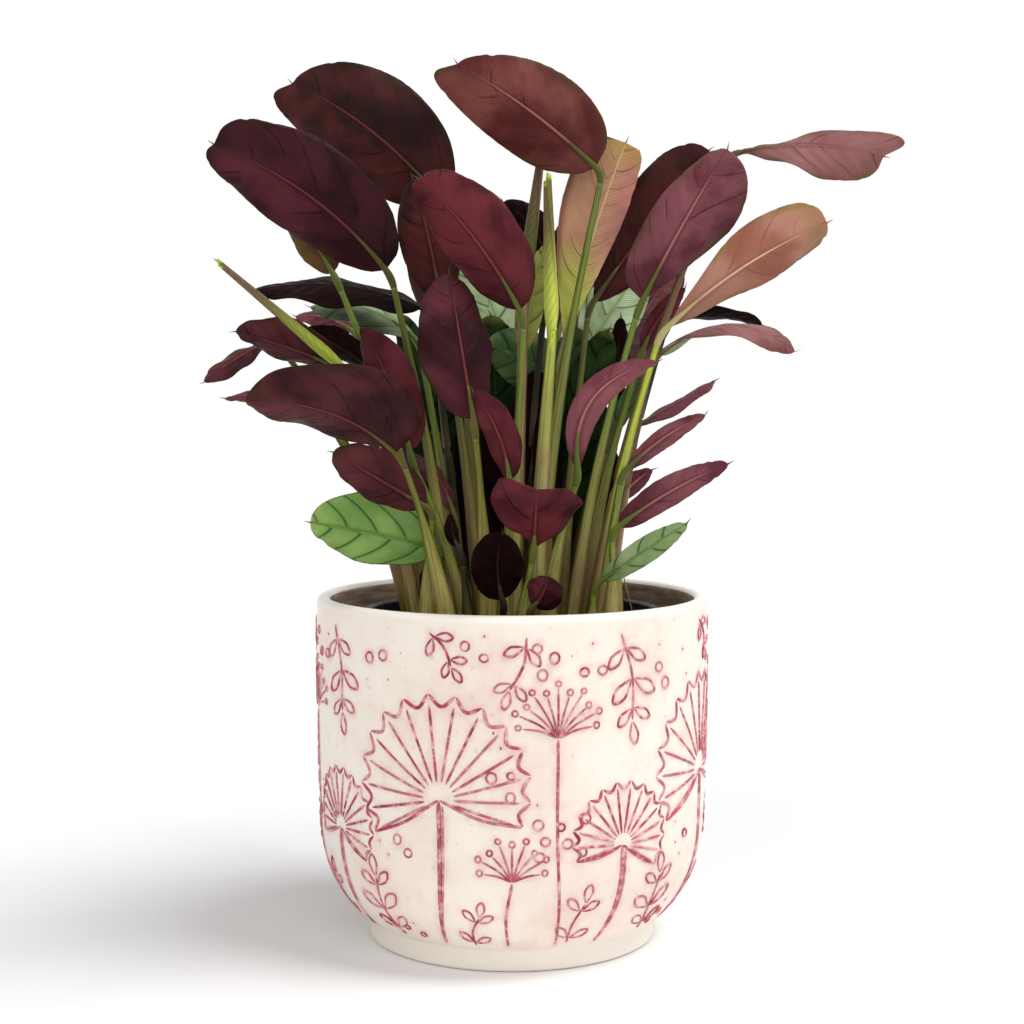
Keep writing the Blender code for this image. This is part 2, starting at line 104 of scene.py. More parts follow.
UNDER_SLOT, UPPER_SLOT, STEM_SLOT = 0, 1, 2
MUCRO = 4.2                      # length of the whisker at a leaf's tip
BAND = 13.0                      # distance between the dark lines on an upper face
SPEAR_LAP = 0.34                 # how far the free edge of a rolled leaf stands proud
SPEAR_NECK = 0.7                 # how narrow it is at its base
SPEAR_WIDEST = 0.2               # and where it is widest
SPEAR_TURN = 1.9                 # how far that edge winds round, in radians
BEAD_LIFT = 0.6                  # height of the planter's raised lines
HALO = 1.5                       # reach of the colour that has run round them
SEED_TRIES = 60                  # places tried for each group of loose rings and dots
SEED_GAP = 6.5                   # least distance between two of them
LEAFLET_HALF = ((0.3, 0.6), (0.62, 1.0), (0.9, 0.55))   # along a leaflet, and out from it
REPEATS = 4                      # of the ornament round the planter

# What a leaf looks like: its underside, upper face and petiole, whether it turns its upper face
# to the front, and the material slot that it takes.
LOOKS = {
    "plum": ("under_plum", "upper_mid", "stem_olive", False, "leaf_wine"),
    "wine": ("under_wine", "upper_mid", "stem_olive", False, "leaf_wine"),
    "claret": ("under_claret", "upper_mid", "stem_green", False, "leaf_wine"),
    "brown_wine": ("under_brown_wine", "upper_mid", "stem_olive", False, "leaf_wine"),
    "crown": ("under_crown", "upper_mid", "stem_green", False, "leaf_wine"),
    # Painted shade: a near-black copy of the wine look, for leaves deep in the clump and edge-on.
    "night": ("under_night", "upper_dark", "stem_dark", False, "leaf_wine"),
    "rose": ("under_rose", "upper_mid", "stem_green", False, "leaf_wine"),
    "mauve": ("under_mauve", "upper_pale", "stem_brown", False, "leaf_wine"),
    "olive": ("under_olive", "upper_mid", "stem_green", False, "leaf_olive"),
    "orange": ("under_orange", "upper_pale", "stem_lime", False, "leaf_orange"),
    "salmon": ("under_salmon", "upper_pale", "stem_lime", False, "leaf_salmon"),
    "fresh": ("under_rose", "upper_fresh", "stem_green", True, "leaf_green"),
    "pale": ("under_mauve", "upper_pale", "stem_green", True, "leaf_green"),
    "mint": ("under_mauve", "upper_mint", "stem_green", True, "leaf_green"),
    "mid": ("under_wine", "upper_mid", "stem_olive", True, "leaf_green"),
    # Painted shade: a darker copy of the mid look, for leaves deep in the clump.
    "dark": ("under_wine", "upper_dark", "stem_dark", True, "leaf_green"),
    "yellow": ("under_olive", "upper_yellow", "stem_lime", True, "leaf_lime"),
    "spear_green": ("roll_green", "roll_green", "stem_lime", False, "leaf_olive"),
    "spear_lime": ("roll_lime", "roll_lime", "stem_lime", False, "leaf_lime"),
    "spear_brown": ("roll_brown", "roll_brown", "stem_brown", False, "leaf_brown"),
}

# foot is where the petiole leaves the soil, base and tip are the ends of the blade's midrib.
# sway bends the midrib in the blade's plane, to the right of its way from base to tip, and bow
# bends it to the front. roll turns the blade about its midrib, twist adds to that along it, lop
# makes its right half wider, cup folds both halves back and belly above 1 moves the widest place
# towards the tip. full is how pointed the blade's base is and end its tip: 0.5 is round and less is
# blunt. skew runs the tip on past the midrib's end, on the right side where it is above 0. A pair
# is for the left and the right side. look names the colours, sheath widens the petiole's foot,
# wave sets how much the margin waves, curl rolls it forward in degrees and shade is painted shade
# that darkens the blade below 1, and painted light that lightens it above 1.
LEAVES = {
    "leaf_left_outer": dict(foot=(-26, -26), base=(-53, -50, 295), tip=(-121, -70, 344), width=40, sway=6,
        bow=6, roll=-15, lop=0.06, belly=(1.05, 0.95), full=0.42, end=(0.4, 0.3), skew=-0.7, look="plum",
        shade=(1.0, 0.55)),
    "leaf_left_top": dict(foot=(-14, 4), base=(-31, 8, 329), tip=(-100, 22, 384), width=49, sway=5, bow=6,
        roll=-10, lop=0.04, end=(0.33, 0.5), skew=-1.1, look="brown_wine", shade=(1.05, 0.7)),
    "leaf_centre_left": dict(foot=(0, -34), base=(3, -58, 278), tip=(-38, -62, 331), width=33, sway=3,
        bow=6, roll=-20, lop=0.08, end=0.4, skew=-0.6, look="claret", sheath=1.7, shade=(0.9, 1.1)),
    "leaf_centre_upright": dict(foot=(-10, -44), base=(-16, -66, 233), tip=(-26, -60, 293), width=32,
        bow=4, roll=25, lop=-0.09, look="plum", sheath=1.8, shade=(1, 0.75)),
    "leaf_left_behind": dict(foot=(-14, -16), base=(-31, -24, 284), tip=(-43, -20, 336), width=26, sway=1,
        bow=3, look="brown_wine"),
    "leaf_left_olive": dict(foot=(-33, -4), base=(-77, -32, 295), tip=(-98, -26, 324), width=20, sway=1,
        roll=-20, lop=0.07, look="olive"),
    "leaf_left_edgewise": dict(foot=(-22, -8), base=(-40, -12, 281), tip=(-114, -14, 288), width=30,
        sway=6, roll=65, look="night"),
    "leaf_left_green": dict(foot=(-24, 14), base=(-45, 4, 269), tip=(-91, 8, 282), width=24, sway=6,
        roll=60, look="pale", shade=(0.5, 1.1)),
    "leaf_left_wine": dict(foot=(-41, -24), base=(-75, -44, 255), tip=(-115, -56, 269), width=22, sway=1,
        roll=-40, lop=0.16, look="wine"),
    "leaf_left_small": dict(foot=(-44, -4), base=(-106, -30, 265), tip=(-130, -44, 248), width=12, sway=1,
        roll=40, belly=1.2, look="wine"),
    "leaf_left_far": dict(foot=(-34, 26), base=(-74, 28, 272), tip=(-101, 36, 279), width=12, sway=3,
        roll=40, look="rose", shade=0.8),
    "leaf_left_dark": dict(foot=(-30, -12), base=(-58, -28, 250), tip=(-91, -20, 270), width=16, sway=3,
        roll=-40, look="night"),
    "leaf_left_broad": dict(foot=(-27, -52), base=(-48, -70, 219), tip=(-106, -92, 240), width=44, sway=7,
        bow=4, roll=-45, lop=0.19, belly=(1.3, 0.72), end=0.6, look="wine", sheath=1.9, shade=(1.1, 0.8)),
    "leaf_left_narrow": dict(foot=(-45, -14), base=(-88, -56, 243), tip=(-118, -66, 241), width=10, sway=1,
        roll=60, look="rose", shade=0.8),
    "leaf_left_red": dict(foot=(-20, -34), base=(-43, -50, 219), tip=(-64, -46, 271), width=21, sway=3,
        roll=-20, lop=0.07, look="claret"),
    "leaf_left_lower": dict(foot=(-36, -46), base=(-37, -50, 196), tip=(-74, -64, 219), width=23, roll=-15,
        lop=0.04, look="wine", sheath=1.7),
    "leaf_left_pale_green": dict(foot=(-37, -36), base=(-33, -38, 177), tip=(-85, -52, 189), width=31,
        sway=1, roll=25, lop=0.07, cup=-0.15, belly=1.05, full=0.45, look="fresh"),
    "leaf_left_curled": dict(foot=(-19, -21), base=(-26, -26, 192), tip=(-44, -16, 217), width=12, sway=3,
        roll=50, look="wine"),
    "leaf_low_sliver": dict(foot=(-18, -46), base=(-23, -46, 178), tip=(-26, -44, 192), width=6, sway=-1,
        roll=15, lop=-0.06, look="night"),
    "leaf_low_left": dict(foot=(-32, -29), base=(-38, -34, 155), tip=(-33, -30, 174), width=11, roll=-25,
        lop=0.09, look="night"),
    "leaf_centre_red": dict(foot=(-4, -52), base=(-1, -68, 208), tip=(-16, -72, 244), width=15, sway=3,
        roll=-20, lop=0.07, look="claret"),
    "leaf_front_cupped": dict(foot=(4, -54), base=(9, -68, 180), tip=(10, -92, 205), width=38, roll=10,
        lop=0.05, belly=(2.2, 1.25), end=(0.15, 0.9), skew=-0.5, look="claret", sheath=1.6, shade=0.85),
    "leaf_front_round": dict(foot=(-6, -60), base=(-4, -66, 158), tip=(-4, -70, 186), width=22, sway=-2,
        lop=-0.01, full=0.45, look="night", sheath=1.6, shade=0.8),
    "leaf_front_small": dict(foot=(8, -58), base=(9, -66, 155), tip=(15, -72, 168), width=16, sway=1,
        roll=-10, lop=0.03, look="plum", sheath=1.7, shade=(1.15, 0.5)),
    "leaf_top_crown": dict(foot=(10, -16), base=(36, -22, 341), tip=(-23, -38, 382), width=40, sway=2,
        bow=4, roll=-10, lop=0.03, belly=(0.95, 0.75), end=(0.28, 0.62), skew=-1.05, look="crown",
        sheath=1.6),
    "leaf_new_salmon": dict(foot=(14, -8), base=(22, -14, 261), tip=(50, -10, 353), width=31, sway=-2,
        lop=-0.29, belly=2.5, end=0.15, look="salmon", curl=(75, 0)),
    "leaf_centre_dark": dict(foot=(4, 20), base=(16, 20, 303), tip=(-4, 28, 331), width=17, sway=4,
        look="night"),
    "leaf_right_behind": dict(foot=(22, 4), base=(37, 6, 285), tip=(89, 14, 353), width=32, sway=-1,
        roll=15, lop=-0.05, belly=(1.5, 1.1), end=0.4, look="brown_wine", shade=(0.75, 1.05)),
    "leaf_right_purple": dict(foot=(26, -24), base=(56, -34, 283), tip=(91, -40, 346), width=35, sway=-1,
        bow=4, roll=-15, lop=0.05, belly=(0.65, 1.9), end=0.42, look="rose", shade=(0.95, 0.85)),
    "leaf_right_orange": dict(foot=(36, -26), base=(66, -38, 271), tip=(131, -54, 314), width=27, sway=-4,
        bow=4, roll=20, lop=-0.08, belly=(2.3, 1.6), end=0.36, look="orange", sheath=1.5,
        shade=(1.05, 0.85)),
    "leaf_right_high": dict(foot=(34, -14), base=(100, -8, 349), tip=(163, -10, 347), width=24, sway=-4,
        roll=-30, twist=70, lop=0.2, belly=(2.2, 1.7), end=0.3, skew=-1.8, look="mauve"),
    "leaf_right_drooping": dict(foot=(42, -14), base=(64, -24, 260), tip=(121, -34, 261), width=20,
        sway=-12, roll=-75, twist=60, look="mauve"),
    "leaf_right_edgewise": dict(foot=(40, 2), base=(74, 4, 276), tip=(113, 8, 274), width=14, sway=-3,
        roll=70, look="night"),
    "leaf_right_slim": dict(foot=(31, -5), base=(58, -4, 262), tip=(77, -2, 290), width=9, sway=-2,
        look="claret", sheath=1.6),
    "leaf_right_curved": dict(foot=(14, -46), base=(27, -66, 213), tip=(59, -72, 256), width=13, sway=-12,
        bow=5, look="rose", sheath=1.8),
    "leaf_right_narrow": dict(foot=(44, 15), base=(58, 13, 229), tip=(93, 20, 249), width=14, roll=-70,
        look="rose"),
    "leaf_right_lance": dict(foot=(38, -38), base=(50, -34, 211), tip=(82, -42, 234), width=9, sway=-2,
        roll=-20, lop=-0.05, look="rose"),
    "leaf_right_low": dict(foot=(42, -44), base=(46, -44, 187), tip=(90, -60, 214), width=13, sway=-2,
        roll=-15, lop=-0.1, belly=0.8, look="rose", sheath=1.7),
    "leaf_right_stub": dict(foot=(47, -5), base=(48, -3, 196), tip=(63, 1, 209), width=9, sway=-1,
        look="rose"),
    "leaf_right_pale_green": dict(foot=(33, -50), base=(38, -54, 165), tip=(72, -70, 190), width=11,
        lop=-0.04, cup=-0.15, look="pale"),
    "leaf_inner_pale": dict(foot=(-6, 24), base=(-4, 46, 266), tip=(-20, 60, 312), width=32, sway=1,
        roll=10, look="mint"),
    "leaf_inner_yellow": dict(foot=(-2, 2), base=(5, 0, 262), tip=(15, 10, 310), width=13, sway=-1,
        look="yellow"),
    "leaf_inner_round": dict(foot=(6, 34), base=(20, 28, 248), tip=(-12, 32, 266), width=27, sway=3,
        look="mid"),
    "leaf_inner_mint": dict(foot=(16, 32), base=(35, 32, 263), tip=(62, 50, 305), width=28, look="mint"),
    "leaf_inner_mid": dict(foot=(14, 12), base=(31, 12, 228), tip=(44, 16, 272), width=20, sway=-1,
        look="dark"),
    "leaf_inner_slim": dict(foot=(30, 6), base=(45, 8, 224), tip=(59, 12, 253), width=8, look="mid"),
    "leaf_inner_olive": dict(foot=(-16, 20), base=(-38, 26, 236), tip=(-52, 36, 280), width=16, sway=1,
        look="dark"),
    "leaf_inner_shade": dict(foot=(-22, 28), base=(-29, 16, 192), tip=(-36, 22, 227), width=12,
        look="dark"),
    "leaf_inner_wine": dict(foot=(34, 26), base=(33, 20, 152), tip=(46, 24, 222), width=22, sway=-2,
        look="night"),
    "leaf_inner_plum": dict(foot=(25, 20), base=(47, 18, 238), tip=(50, 22, 278), width=11, look="night"),
    "leaf_back_left": dict(foot=(-10, 44), base=(-20, 62, 274), tip=(-44, 112, 334), width=34, sway=-3,
        look="wine"),
    "leaf_back_centre": dict(foot=(8, 46), base=(23, 66, 274), tip=(44, 108, 346), width=34, look="claret"),
    "leaf_back_right": dict(foot=(24, 40), base=(47, 60, 250), tip=(85, 104, 308), width=32, sway=-3,
        look="wine"),
    "leaf_back_low": dict(foot=(-24, 38), base=(-44, 54, 226), tip=(-74, 96, 255), width=28, sway=3,
        look="wine"),
}

# Leaves that are still rolled up: the roll starts at base and ends at tip.
SPEARS = {
    "spear_left": dict(foot=(-37, -14), base=(-71, -50, 254), tip=(-121, -62, 297), roll_radius=2.4,
        foot_radius=2.4, tip_radius=1.2, look="spear_green"),
    "spear_lime": dict(foot=(10, -28), base=(17, -30, 270), tip=(15, -30, 335), roll_radius=3.0,
        foot_radius=5.0, tip_radius=1.8, look="spear_lime"),
    "spear_brown": dict(foot=(2, -10), base=(6, -8, 298), tip=(13, -8, 351), roll_radius=3.0,
        foot_radius=3.0, tip_radius=1.6, look="spear_brown"),
}

# The dark foliage that shows between the petioles, in painted shade from dark looks and low shade values. It
# has no solids.
SHADED_LEAVES = {
    "shaded_left": dict(foot=(-24, 18), base=(-31, 24, 172), tip=(-38, 28, 250), width=30,
        look="dark", shade=0.55),
    "shaded_centre_left": dict(foot=(-12, 16), base=(-13, 20, 160), tip=(-15, 26, 242), width=30,
        look="night"),
    "shaded_round": dict(foot=(6, 12), base=(8, 17, 198), tip=(12, 20, 254), width=26, look="night"),
    "shaded_centre": dict(foot=(2, 18), base=(2, 22, 158), tip=(5, 26, 234), width=30,
        look="dark", shade=0.45),
    "shaded_right": dict(foot=(20, 16), base=(25, 20, 166), tip=(36, 26, 248), width=32,
        look="dark", shade=0.6),
    "shaded_upper": dict(foot=(0, 26), base=(-6, 34, 216), tip=(-10, 40, 280), width=32, look="dark"),
    "shaded_upper_right": dict(foot=(16, 22), base=(24, 26, 214), tip=(30, 30, 274), width=26,
        look="mid", shade=0.6),
    "shaded_low_left": dict(foot=(-36, 8), base=(-37, 12, 150), tip=(-40, 16, 200), width=24,
        look="night"),
    "shaded_low_centre": dict(foot=(-20, 12), base=(-20, 14, 150), tip=(-22, 20, 205), width=26,
        look="night"),
    "shaded_low_right": dict(foot=(14, 14), base=(14, 16, 150), tip=(15, 22, 214), width=28,
        look="night"),
}


# ---------------------------------------------------------------- node helpers

class Nodes:
    """A short way to write a material's nodes."""

    def __init__(self, name):
        self.material = bpy.data.materials.new(name)
        self.material.use_nodes = True
        self.tree = self.material.node_tree
        self.tree.nodes.clear()
        self.output = self.tree.nodes.new("ShaderNodeOutputMaterial")

    def add(self, kind, inputs=None, **settings):
        """Add a node, set its settings, and set or link its inputs."""
        node = self.tree.nodes.new("ShaderNode" + kind)
        for key, value in settings.items():
            setattr(node, key, value)
        for key, value in (inputs or {}).items():
            self.feed(node.inputs[key], value)
        return node

    def feed(self, socket, value):
        """Link a socket to another one, or set its value."""
        if isinstance(value, bpy.types.NodeSocket):
            self.tree.links.new(value, socket)
        elif hasattr(socket.default_value, "__len__") and len(value) == 3 and socket.type == "RGBA":
            socket.default_value = (*value, 1)
        else:
            socket.default_value = value

    def attribute(self, name):
        return self.add("Attribute", attribute_name=name, attribute_type="GEOMETRY").outputs["Fac"]

    def math(self, operation, first, second=0.0, third=0.0, clamp=False):
        return self.add("Math", {0: first, 1: second, 2: third}, operation=operation,
                        use_clamp=clamp).outputs[0]

    def smooth(self, value, low, high, start=0.0, end=1.0):
        """Smooth step from start at low to end at high."""
        node = self.add("MapRange", {"Value": value, "From Min": low, "From Max": high,
                                     "To Min": start, "To Max": end}, interpolation_type="SMOOTHSTEP")
        return node.outputs["Result"]

    def mix(self, share, first, second, blend="MIX"):
        node = self.add("Mix", data_type="RGBA", blend_type=blend)
        self.feed(node.inputs[0], share)
        self.feed(node.inputs[6], first)
        self.feed(node.inputs[7], second)
        return node.outputs[2]

    def noise(self, scale, detail=3.0, vector=None, roughness=0.5):
        if vector is None:
            vector = self.add("TexCoord").outputs["Object"]
        node = self.add("TexNoise", {"Vector": vector, "Scale": scale, "Detail": detail,
                                     "Roughness": roughness})
        return node.outputs["Fac"]

    def specks(self, scale, size):
        """Return 1 on a few scattered dots."""
        node = self.add("TexVoronoi", {"Vector": self.add("TexCoord").outputs["Object"], "Scale": scale})
        parts = self.add("SeparateColor", {0: node.outputs["Color"]})
        chosen = self.math("GREATER_THAN", parts.outputs[0], SPECK_LIMIT)
        dots = self.smooth(node.outputs["Distance"], size * 0.5, size, 1.0, 0.0)
        return self.math("MULTIPLY", dots, chosen)

    def shaded(self, colour):
        """Multiply a colour by the piece's shade value: painted shade below 1 and painted light above it, with
        a random tone on petioles.
        """
        shade = self.attribute("shade")
        tone = self.add("CombineColor", {0: shade, 1: shade, 2: shade}).outputs[0]
        return self.mix(1.0, colour, tone, blend="MULTIPLY")

    def bump(self, height, distance, strength=1.0):
        return self.add("Bump", {"Height": height, "Distance": distance,
                                 "Strength": strength}).outputs["Normal"]

    def principled(self, **inputs):
        """Finish the material with one Principled shader."""
        shader = self.add("BsdfPrincipled", {key.replace("_", " "): value for key, value in inputs.items()})
        self.tree.links.new(shader.outputs[0], self.output.inputs["Surface"])
        return self.material


def rgb(red, green, painted_side_shading_blue):
    """Turn a colour written as 0 to 255 into linear light."""
    return tuple(((value / 255) / 12.92 if value <= 10 else ((value / 255 + 0.055) / 1.055) ** 2.4)
                 for value in (red, green, painted_side_shading_blue))


def new_piece(name, points, faces, materials, slots=None, values=None):
    """Make a smooth-shaded object from points in millimetres, with its faces' slots and attributes."""
    mesh = bpy.data.meshes.new(name)
    mesh.from_pydata((np.asarray(points, float) * MM).tolist(), [], faces)
    for material in materials:
        mesh.materials.append(material)
    if slots is not None:
        mesh.polygons.foreach_set("material_index", np.asarray(slots, np.int32))
    for key, numbers in (values or {}).items():
        layer = mesh.attributes.new(key, "FLOAT", "POINT")
        layer.data.foreach_set("value", np.asarray(numbers, np.float32))
    work = bmesh.new()
    work.from_mesh(mesh)
    bmesh.ops.recalc_face_normals(work, faces=work.faces)
    work.to_mesh(mesh)
    work.free()
    mesh.shade_smooth()
    piece = bpy.data.objects.new(name, mesh)
    bpy.context.collection.objects.link(piece)
    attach(piece, BODY)
    return piece


# ---------------------------------------------------------------- leaf materials

def vein_lines(nodes, spacing, sharpness):
    """Return 1 on the lateral veins and 0 between them."""
    turns = nodes.math("MULTIPLY", nodes.attribute("vein"), 2 * math.pi / spacing)
    wave = nodes.math("MULTIPLY_ADD", nodes.math("COSINE", turns), 0.5, 0.5)
    return nodes.math("POWER", wave, sharpness)


def creases(nodes, spacing):
    """Return 1 on a few uneven folds that follow the lateral veins."""
    drift = nodes.math("MULTIPLY", nodes.noise(30, 1), spacing * 1.4)
    turns = nodes.math("MULTIPLY", nodes.math("ADD", nodes.attribute("vein"), drift), 2 * math.pi / spacing)
    line = nodes.smooth(nodes.math("COSINE", turns), 0.955, 1.0)
    return nodes.math("MULTIPLY", line, nodes.smooth(nodes.noise(42, 1), 0.45, 0.62))


def under_material(name, deep, light, rib, edge, gloss):
    """Satin underside: deep and light patches, herringbone bands, fine veins, folds and a midrib, with painted
    shade in the folds and beside the midrib.
    """
    nodes = Nodes(name)
    along = nodes.attribute("along")
    across = nodes.math("ABSOLUTE", nodes.attribute("across"))
    bands = vein_lines(nodes, 21, 1.6)
    fine = vein_lines(nodes, 1.25, 1.5)
    folds = creases(nodes, 17)
    share = nodes.math("MULTIPLY_ADD", bands, -0.2, nodes.smooth(nodes.noise(38, 5), 0.34, 0.64))
    share = nodes.math("MULTIPLY_ADD", fine, 0.36, share)
    # Painted shade in the folds.
    share = nodes.math("MULTIPLY_ADD", folds, -0.7, share, clamp=True)
    colour = nodes.mix(share, deep, light)
    margin = nodes.math("ADD", nodes.smooth(across, 0.72, 1.0), nodes.smooth(along, 0.78, 1.0, 0.0, 0.6))
    mottle = nodes.smooth(nodes.noise(75, 4), 0.42, 0.66)
    colour = nodes.mix(nodes.math("MULTIPLY", margin, mottle, clamp=True), colour, edge)
    colour = nodes.mix(nodes.math("MULTIPLY", nodes.specks(75, 0.06), 0.6), colour, rgb(206, 176, 110))
    aside = nodes.math("ABSOLUTE", nodes.attribute("aside"))
    stalk = nodes.mix(nodes.smooth(along, 0.04, 0.32), rgb(100, 88, 46), rib)
    fade = nodes.smooth(along, 0.60, 0.97, 1.0, 0.0)
    # Painted shade along both sides of the raised midrib.
    painted_shade_by_rib = nodes.math("MULTIPLY", nodes.smooth(aside, 1.2, 3.6, 0.6, 0.0), fade)
    colour = nodes.mix(painted_shade_by_rib, colour, deep)
    near = nodes.smooth(aside, 0.45, 1.0, 1.0, 0.0)
    colour = nodes.mix(nodes.math("MULTIPLY", near, fade), colour, stalk)
    relief = nodes.math("MULTIPLY_ADD", fine, 0.4, nodes.math("MULTIPLY_ADD", bands, 0.8, folds))
    normal = nodes.bump(relief, 0.0003, 0.6)
    rough = nodes.smooth(nodes.noise(130, 4), 0.3, 0.75, UNDER_ROUGHNESS - 0.07, UNDER_ROUGHNESS + 0.14)
    return nodes.principled(Base_Color=nodes.shaded(colour), Roughness=rough, Normal=normal,
                            Specular_IOR_Level=gloss)


def upper_material(name, pale, deep, line, rib, gloss):
    """Upper face: green between dark curved lines that follow the lateral veins."""
    nodes = Nodes(name)
    along = nodes.attribute("along")
    fine = vein_lines(nodes, 1.3, 2)
    colour = nodes.mix(nodes.smooth(nodes.noise(48, 4), 0.3, 0.75), pale, deep)
    colour = nodes.mix(nodes.math("MULTIPLY", fine, 0.2), colour, deep)
    lines, halo = vein_lines(nodes, BAND, 45), vein_lines(nodes, BAND, 4)
    colour = nodes.mix(nodes.math("MULTIPLY", halo, 0.55), colour, deep)
    colour = nodes.mix(nodes.math("MULTIPLY", lines, 0.9), colour, line)
    across = nodes.math("ABSOLUTE", nodes.attribute("across"))
    colour = nodes.mix(nodes.smooth(across, 0.95, 1.0, 0.0, 0.7), colour, line)
    aside = nodes.math("ABSOLUTE", nodes.attribute("aside"))
    beside = nodes.smooth(aside, 1.2, 3.2, 0.6, 0.0)
    colour = nodes.mix(beside, colour, deep)
    colour = nodes.mix(nodes.smooth(aside, 0.35, 0.95, 0.95, 0.0), colour, rib)
    colour = nodes.mix(nodes.smooth(along, 0.9, 1.0, 0.0, 0.35), colour, rgb(150, 140, 70))
    relief = nodes.math("MULTIPLY_ADD", fine, 0.4, nodes.math("MULTIPLY", halo, -0.9))
    normal = nodes.bump(relief, 0.0004, 0.7)
    return nodes.principled(Base_Color=nodes.shaded(colour), Roughness=UPPER_ROUGHNESS, Normal=normal,
                            Specular_IOR_Level=gloss)


def stem_material(name, low, high, knee):
    """Petiole: long fibres, painted shade down its two sides and a painted highlight between them, tan
    blotches on its sheath, a pale joint, and a pulvinus that ends as a rib.
    """
    nodes = Nodes(name)
    along = nodes.attribute("along")
    grain = nodes.add("CombineXYZ", {"X": nodes.math("MULTIPLY", nodes.attribute("across"), 12.0),
                                     "Y": nodes.math("MULTIPLY", along, 1.6)}).outputs[0]
    fibres = nodes.noise(2.1, 4, vector=grain, roughness=0.65)
    # Painted shade and painted highlight: darker down the petiole's two sides, a little lighter on its front
    # and back, with less blue in the painted shade.
    painted_rounding_wave = nodes.math("SINE", nodes.math("MULTIPLY", nodes.attribute("across"), 2 * math.pi))
    painted_side_shading = nodes.smooth(nodes.math("ABSOLUTE", painted_rounding_wave), 0.35, 0.95, 0.42, 1.12)
    painted_side_shading_blue = nodes.math("MULTIPLY", painted_side_shading, painted_side_shading)
    painted_side_shading = nodes.add("CombineColor", {0: painted_side_shading, 1: painted_side_shading, 2: painted_side_shading_blue}).outputs[0]
    colour = nodes.mix(nodes.smooth(along, 0.05, 0.8), low, high)
    colour = nodes.mix(1.0, colour, painted_side_shading, blend="MULTIPLY")
    pale = nodes.mix(1.0, colour, (1.5, 1.45, 1.5), blend="MULTIPLY")
    colour = nodes.mix(nodes.smooth(fibres, 0.52, 0.72, 0.0, 0.8), colour, pale)
    dark = nodes.mix(1.0, colour, (0.34, 0.32, 0.26), blend="MULTIPLY")
    colour = nodes.mix(nodes.smooth(fibres, 0.34, 0.52, 0.75, 0.0), colour, dark)
    patches = nodes.smooth(nodes.noise(34, 3), 0.46, 0.66)
    tan = nodes.math("MULTIPLY", patches, nodes.smooth(along, 0.1, 0.7, 0.75, 0.0))
    colour = nodes.mix(tan, colour, rgb(168, 134, 98))
    colour = nodes.mix(nodes.smooth(along, 1.0, 1.06), colour, knee)
    joint = nodes.smooth(nodes.math("ABSOLUTE", nodes.math("SUBTRACT", along, 1.0)), 0.0, 0.012, 0.5, 0.0)
    colour = nodes.mix(joint, colour, rgb(176, 166, 116))
    normal = nodes.bump(fibres, 0.0006, 0.6)
    return nodes.principled(Base_Color=nodes.shaded(colour), Roughness=STEM_ROUGHNESS, Normal=normal,
                            Specular_IOR_Level=LEAF_GLOSS)


def outer_glaze_material(name):
    """Cream glaze, clouded by the colour that has run round the ornament."""
    nodes = Nodes(name)
    cloud = nodes.smooth(nodes.noise(17, 5, roughness=0.6), 0.34, 0.66)
    colour = nodes.mix(cloud, rgb(253, 244, 232), rgb(248, 231, 217))
    pools = nodes.smooth(nodes.noise(34, 6, roughness=0.66), 0.50, 0.74)
    colour = nodes.mix(nodes.math("MULTIPLY", pools, 0.5), colour, rgb(238, 204, 190))
    halo = nodes.math("MULTIPLY", nodes.attribute("halo"), nodes.smooth(nodes.noise(140, 5), 0.36, 0.66))
    colour = nodes.mix(nodes.math("MULTIPLY", halo, 0.5), colour, rgb(234, 170, 170))
    scuffs = nodes.smooth(nodes.noise(260, 3), 0.64, 0.74, 0.0, 0.3)
    colour = nodes.mix(scuffs, colour, rgb(206, 168, 148))
    colour = nodes.mix(nodes.attribute("bare"), colour, rgb(251, 243, 231))
    ripple = nodes.math("ADD", nodes.noise(160, 3), nodes.math("MULTIPLY", nodes.noise(900, 2), 0.25))
    normal = nodes.bump(ripple, 0.0005, 0.35)
    return nodes.principled(Base_Color=colour, Roughness=0.26, Normal=normal, IOR=1.5)


def inner_glaze_material(name):
    """Duller glaze inside the planter, taupe that is partly painted shade, with level throwing marks and pale
    runs near its lip.
    """
    nodes = Nodes(name)
    place = nodes.add("TexCoord").outputs["Object"]
    rings = nodes.add("Mapping", {"Vector": place, "Scale": (0.12, 0.12, 1.0)}).outputs[0]
    marks = nodes.smooth(nodes.noise(420, 4, vector=rings), 0.3, 0.7)
    # Taupe, partly painted shade on the glaze inside.
    colour = nodes.mix(marks, rgb(138, 112, 90), rgb(188, 162, 138))
    runs = nodes.smooth(nodes.noise(36, 5), 0.5, 0.72, 0.0, 0.6)
    colour = nodes.mix(runs, colour, rgb(220, 200, 182))
    normal = nodes.bump(marks, 0.0003, 0.4)
    return nodes.principled(Base_Color=colour, Roughness=0.5, Normal=normal, Specular_IOR_Level=0.3)


def wash_line_material(name):
    """Raised line of the ornament: crimson that the glaze has worn away here and there."""
    nodes = Nodes(name)
    worn = nodes.smooth(nodes.noise(210, 5, roughness=0.7), 0.34, 0.56)
    wash = nodes.math("MULTIPLY_ADD", nodes.attribute("wash"), 0.65, 0.42)
    share = nodes.math("MULTIPLY", worn, wash, clamp=True)
    crimson = nodes.mix(nodes.smooth(nodes.noise(240, 3), 0.38, 0.62), rgb(192, 58, 92), rgb(146, 20, 56))
    colour = nodes.mix(share, rgb(238, 184, 186), crimson)
    normal = nodes.bump(nodes.noise(600, 3), 0.0002, 0.4)
    return nodes.principled(Base_Color=colour, Roughness=0.28, Normal=normal, IOR=1.5)


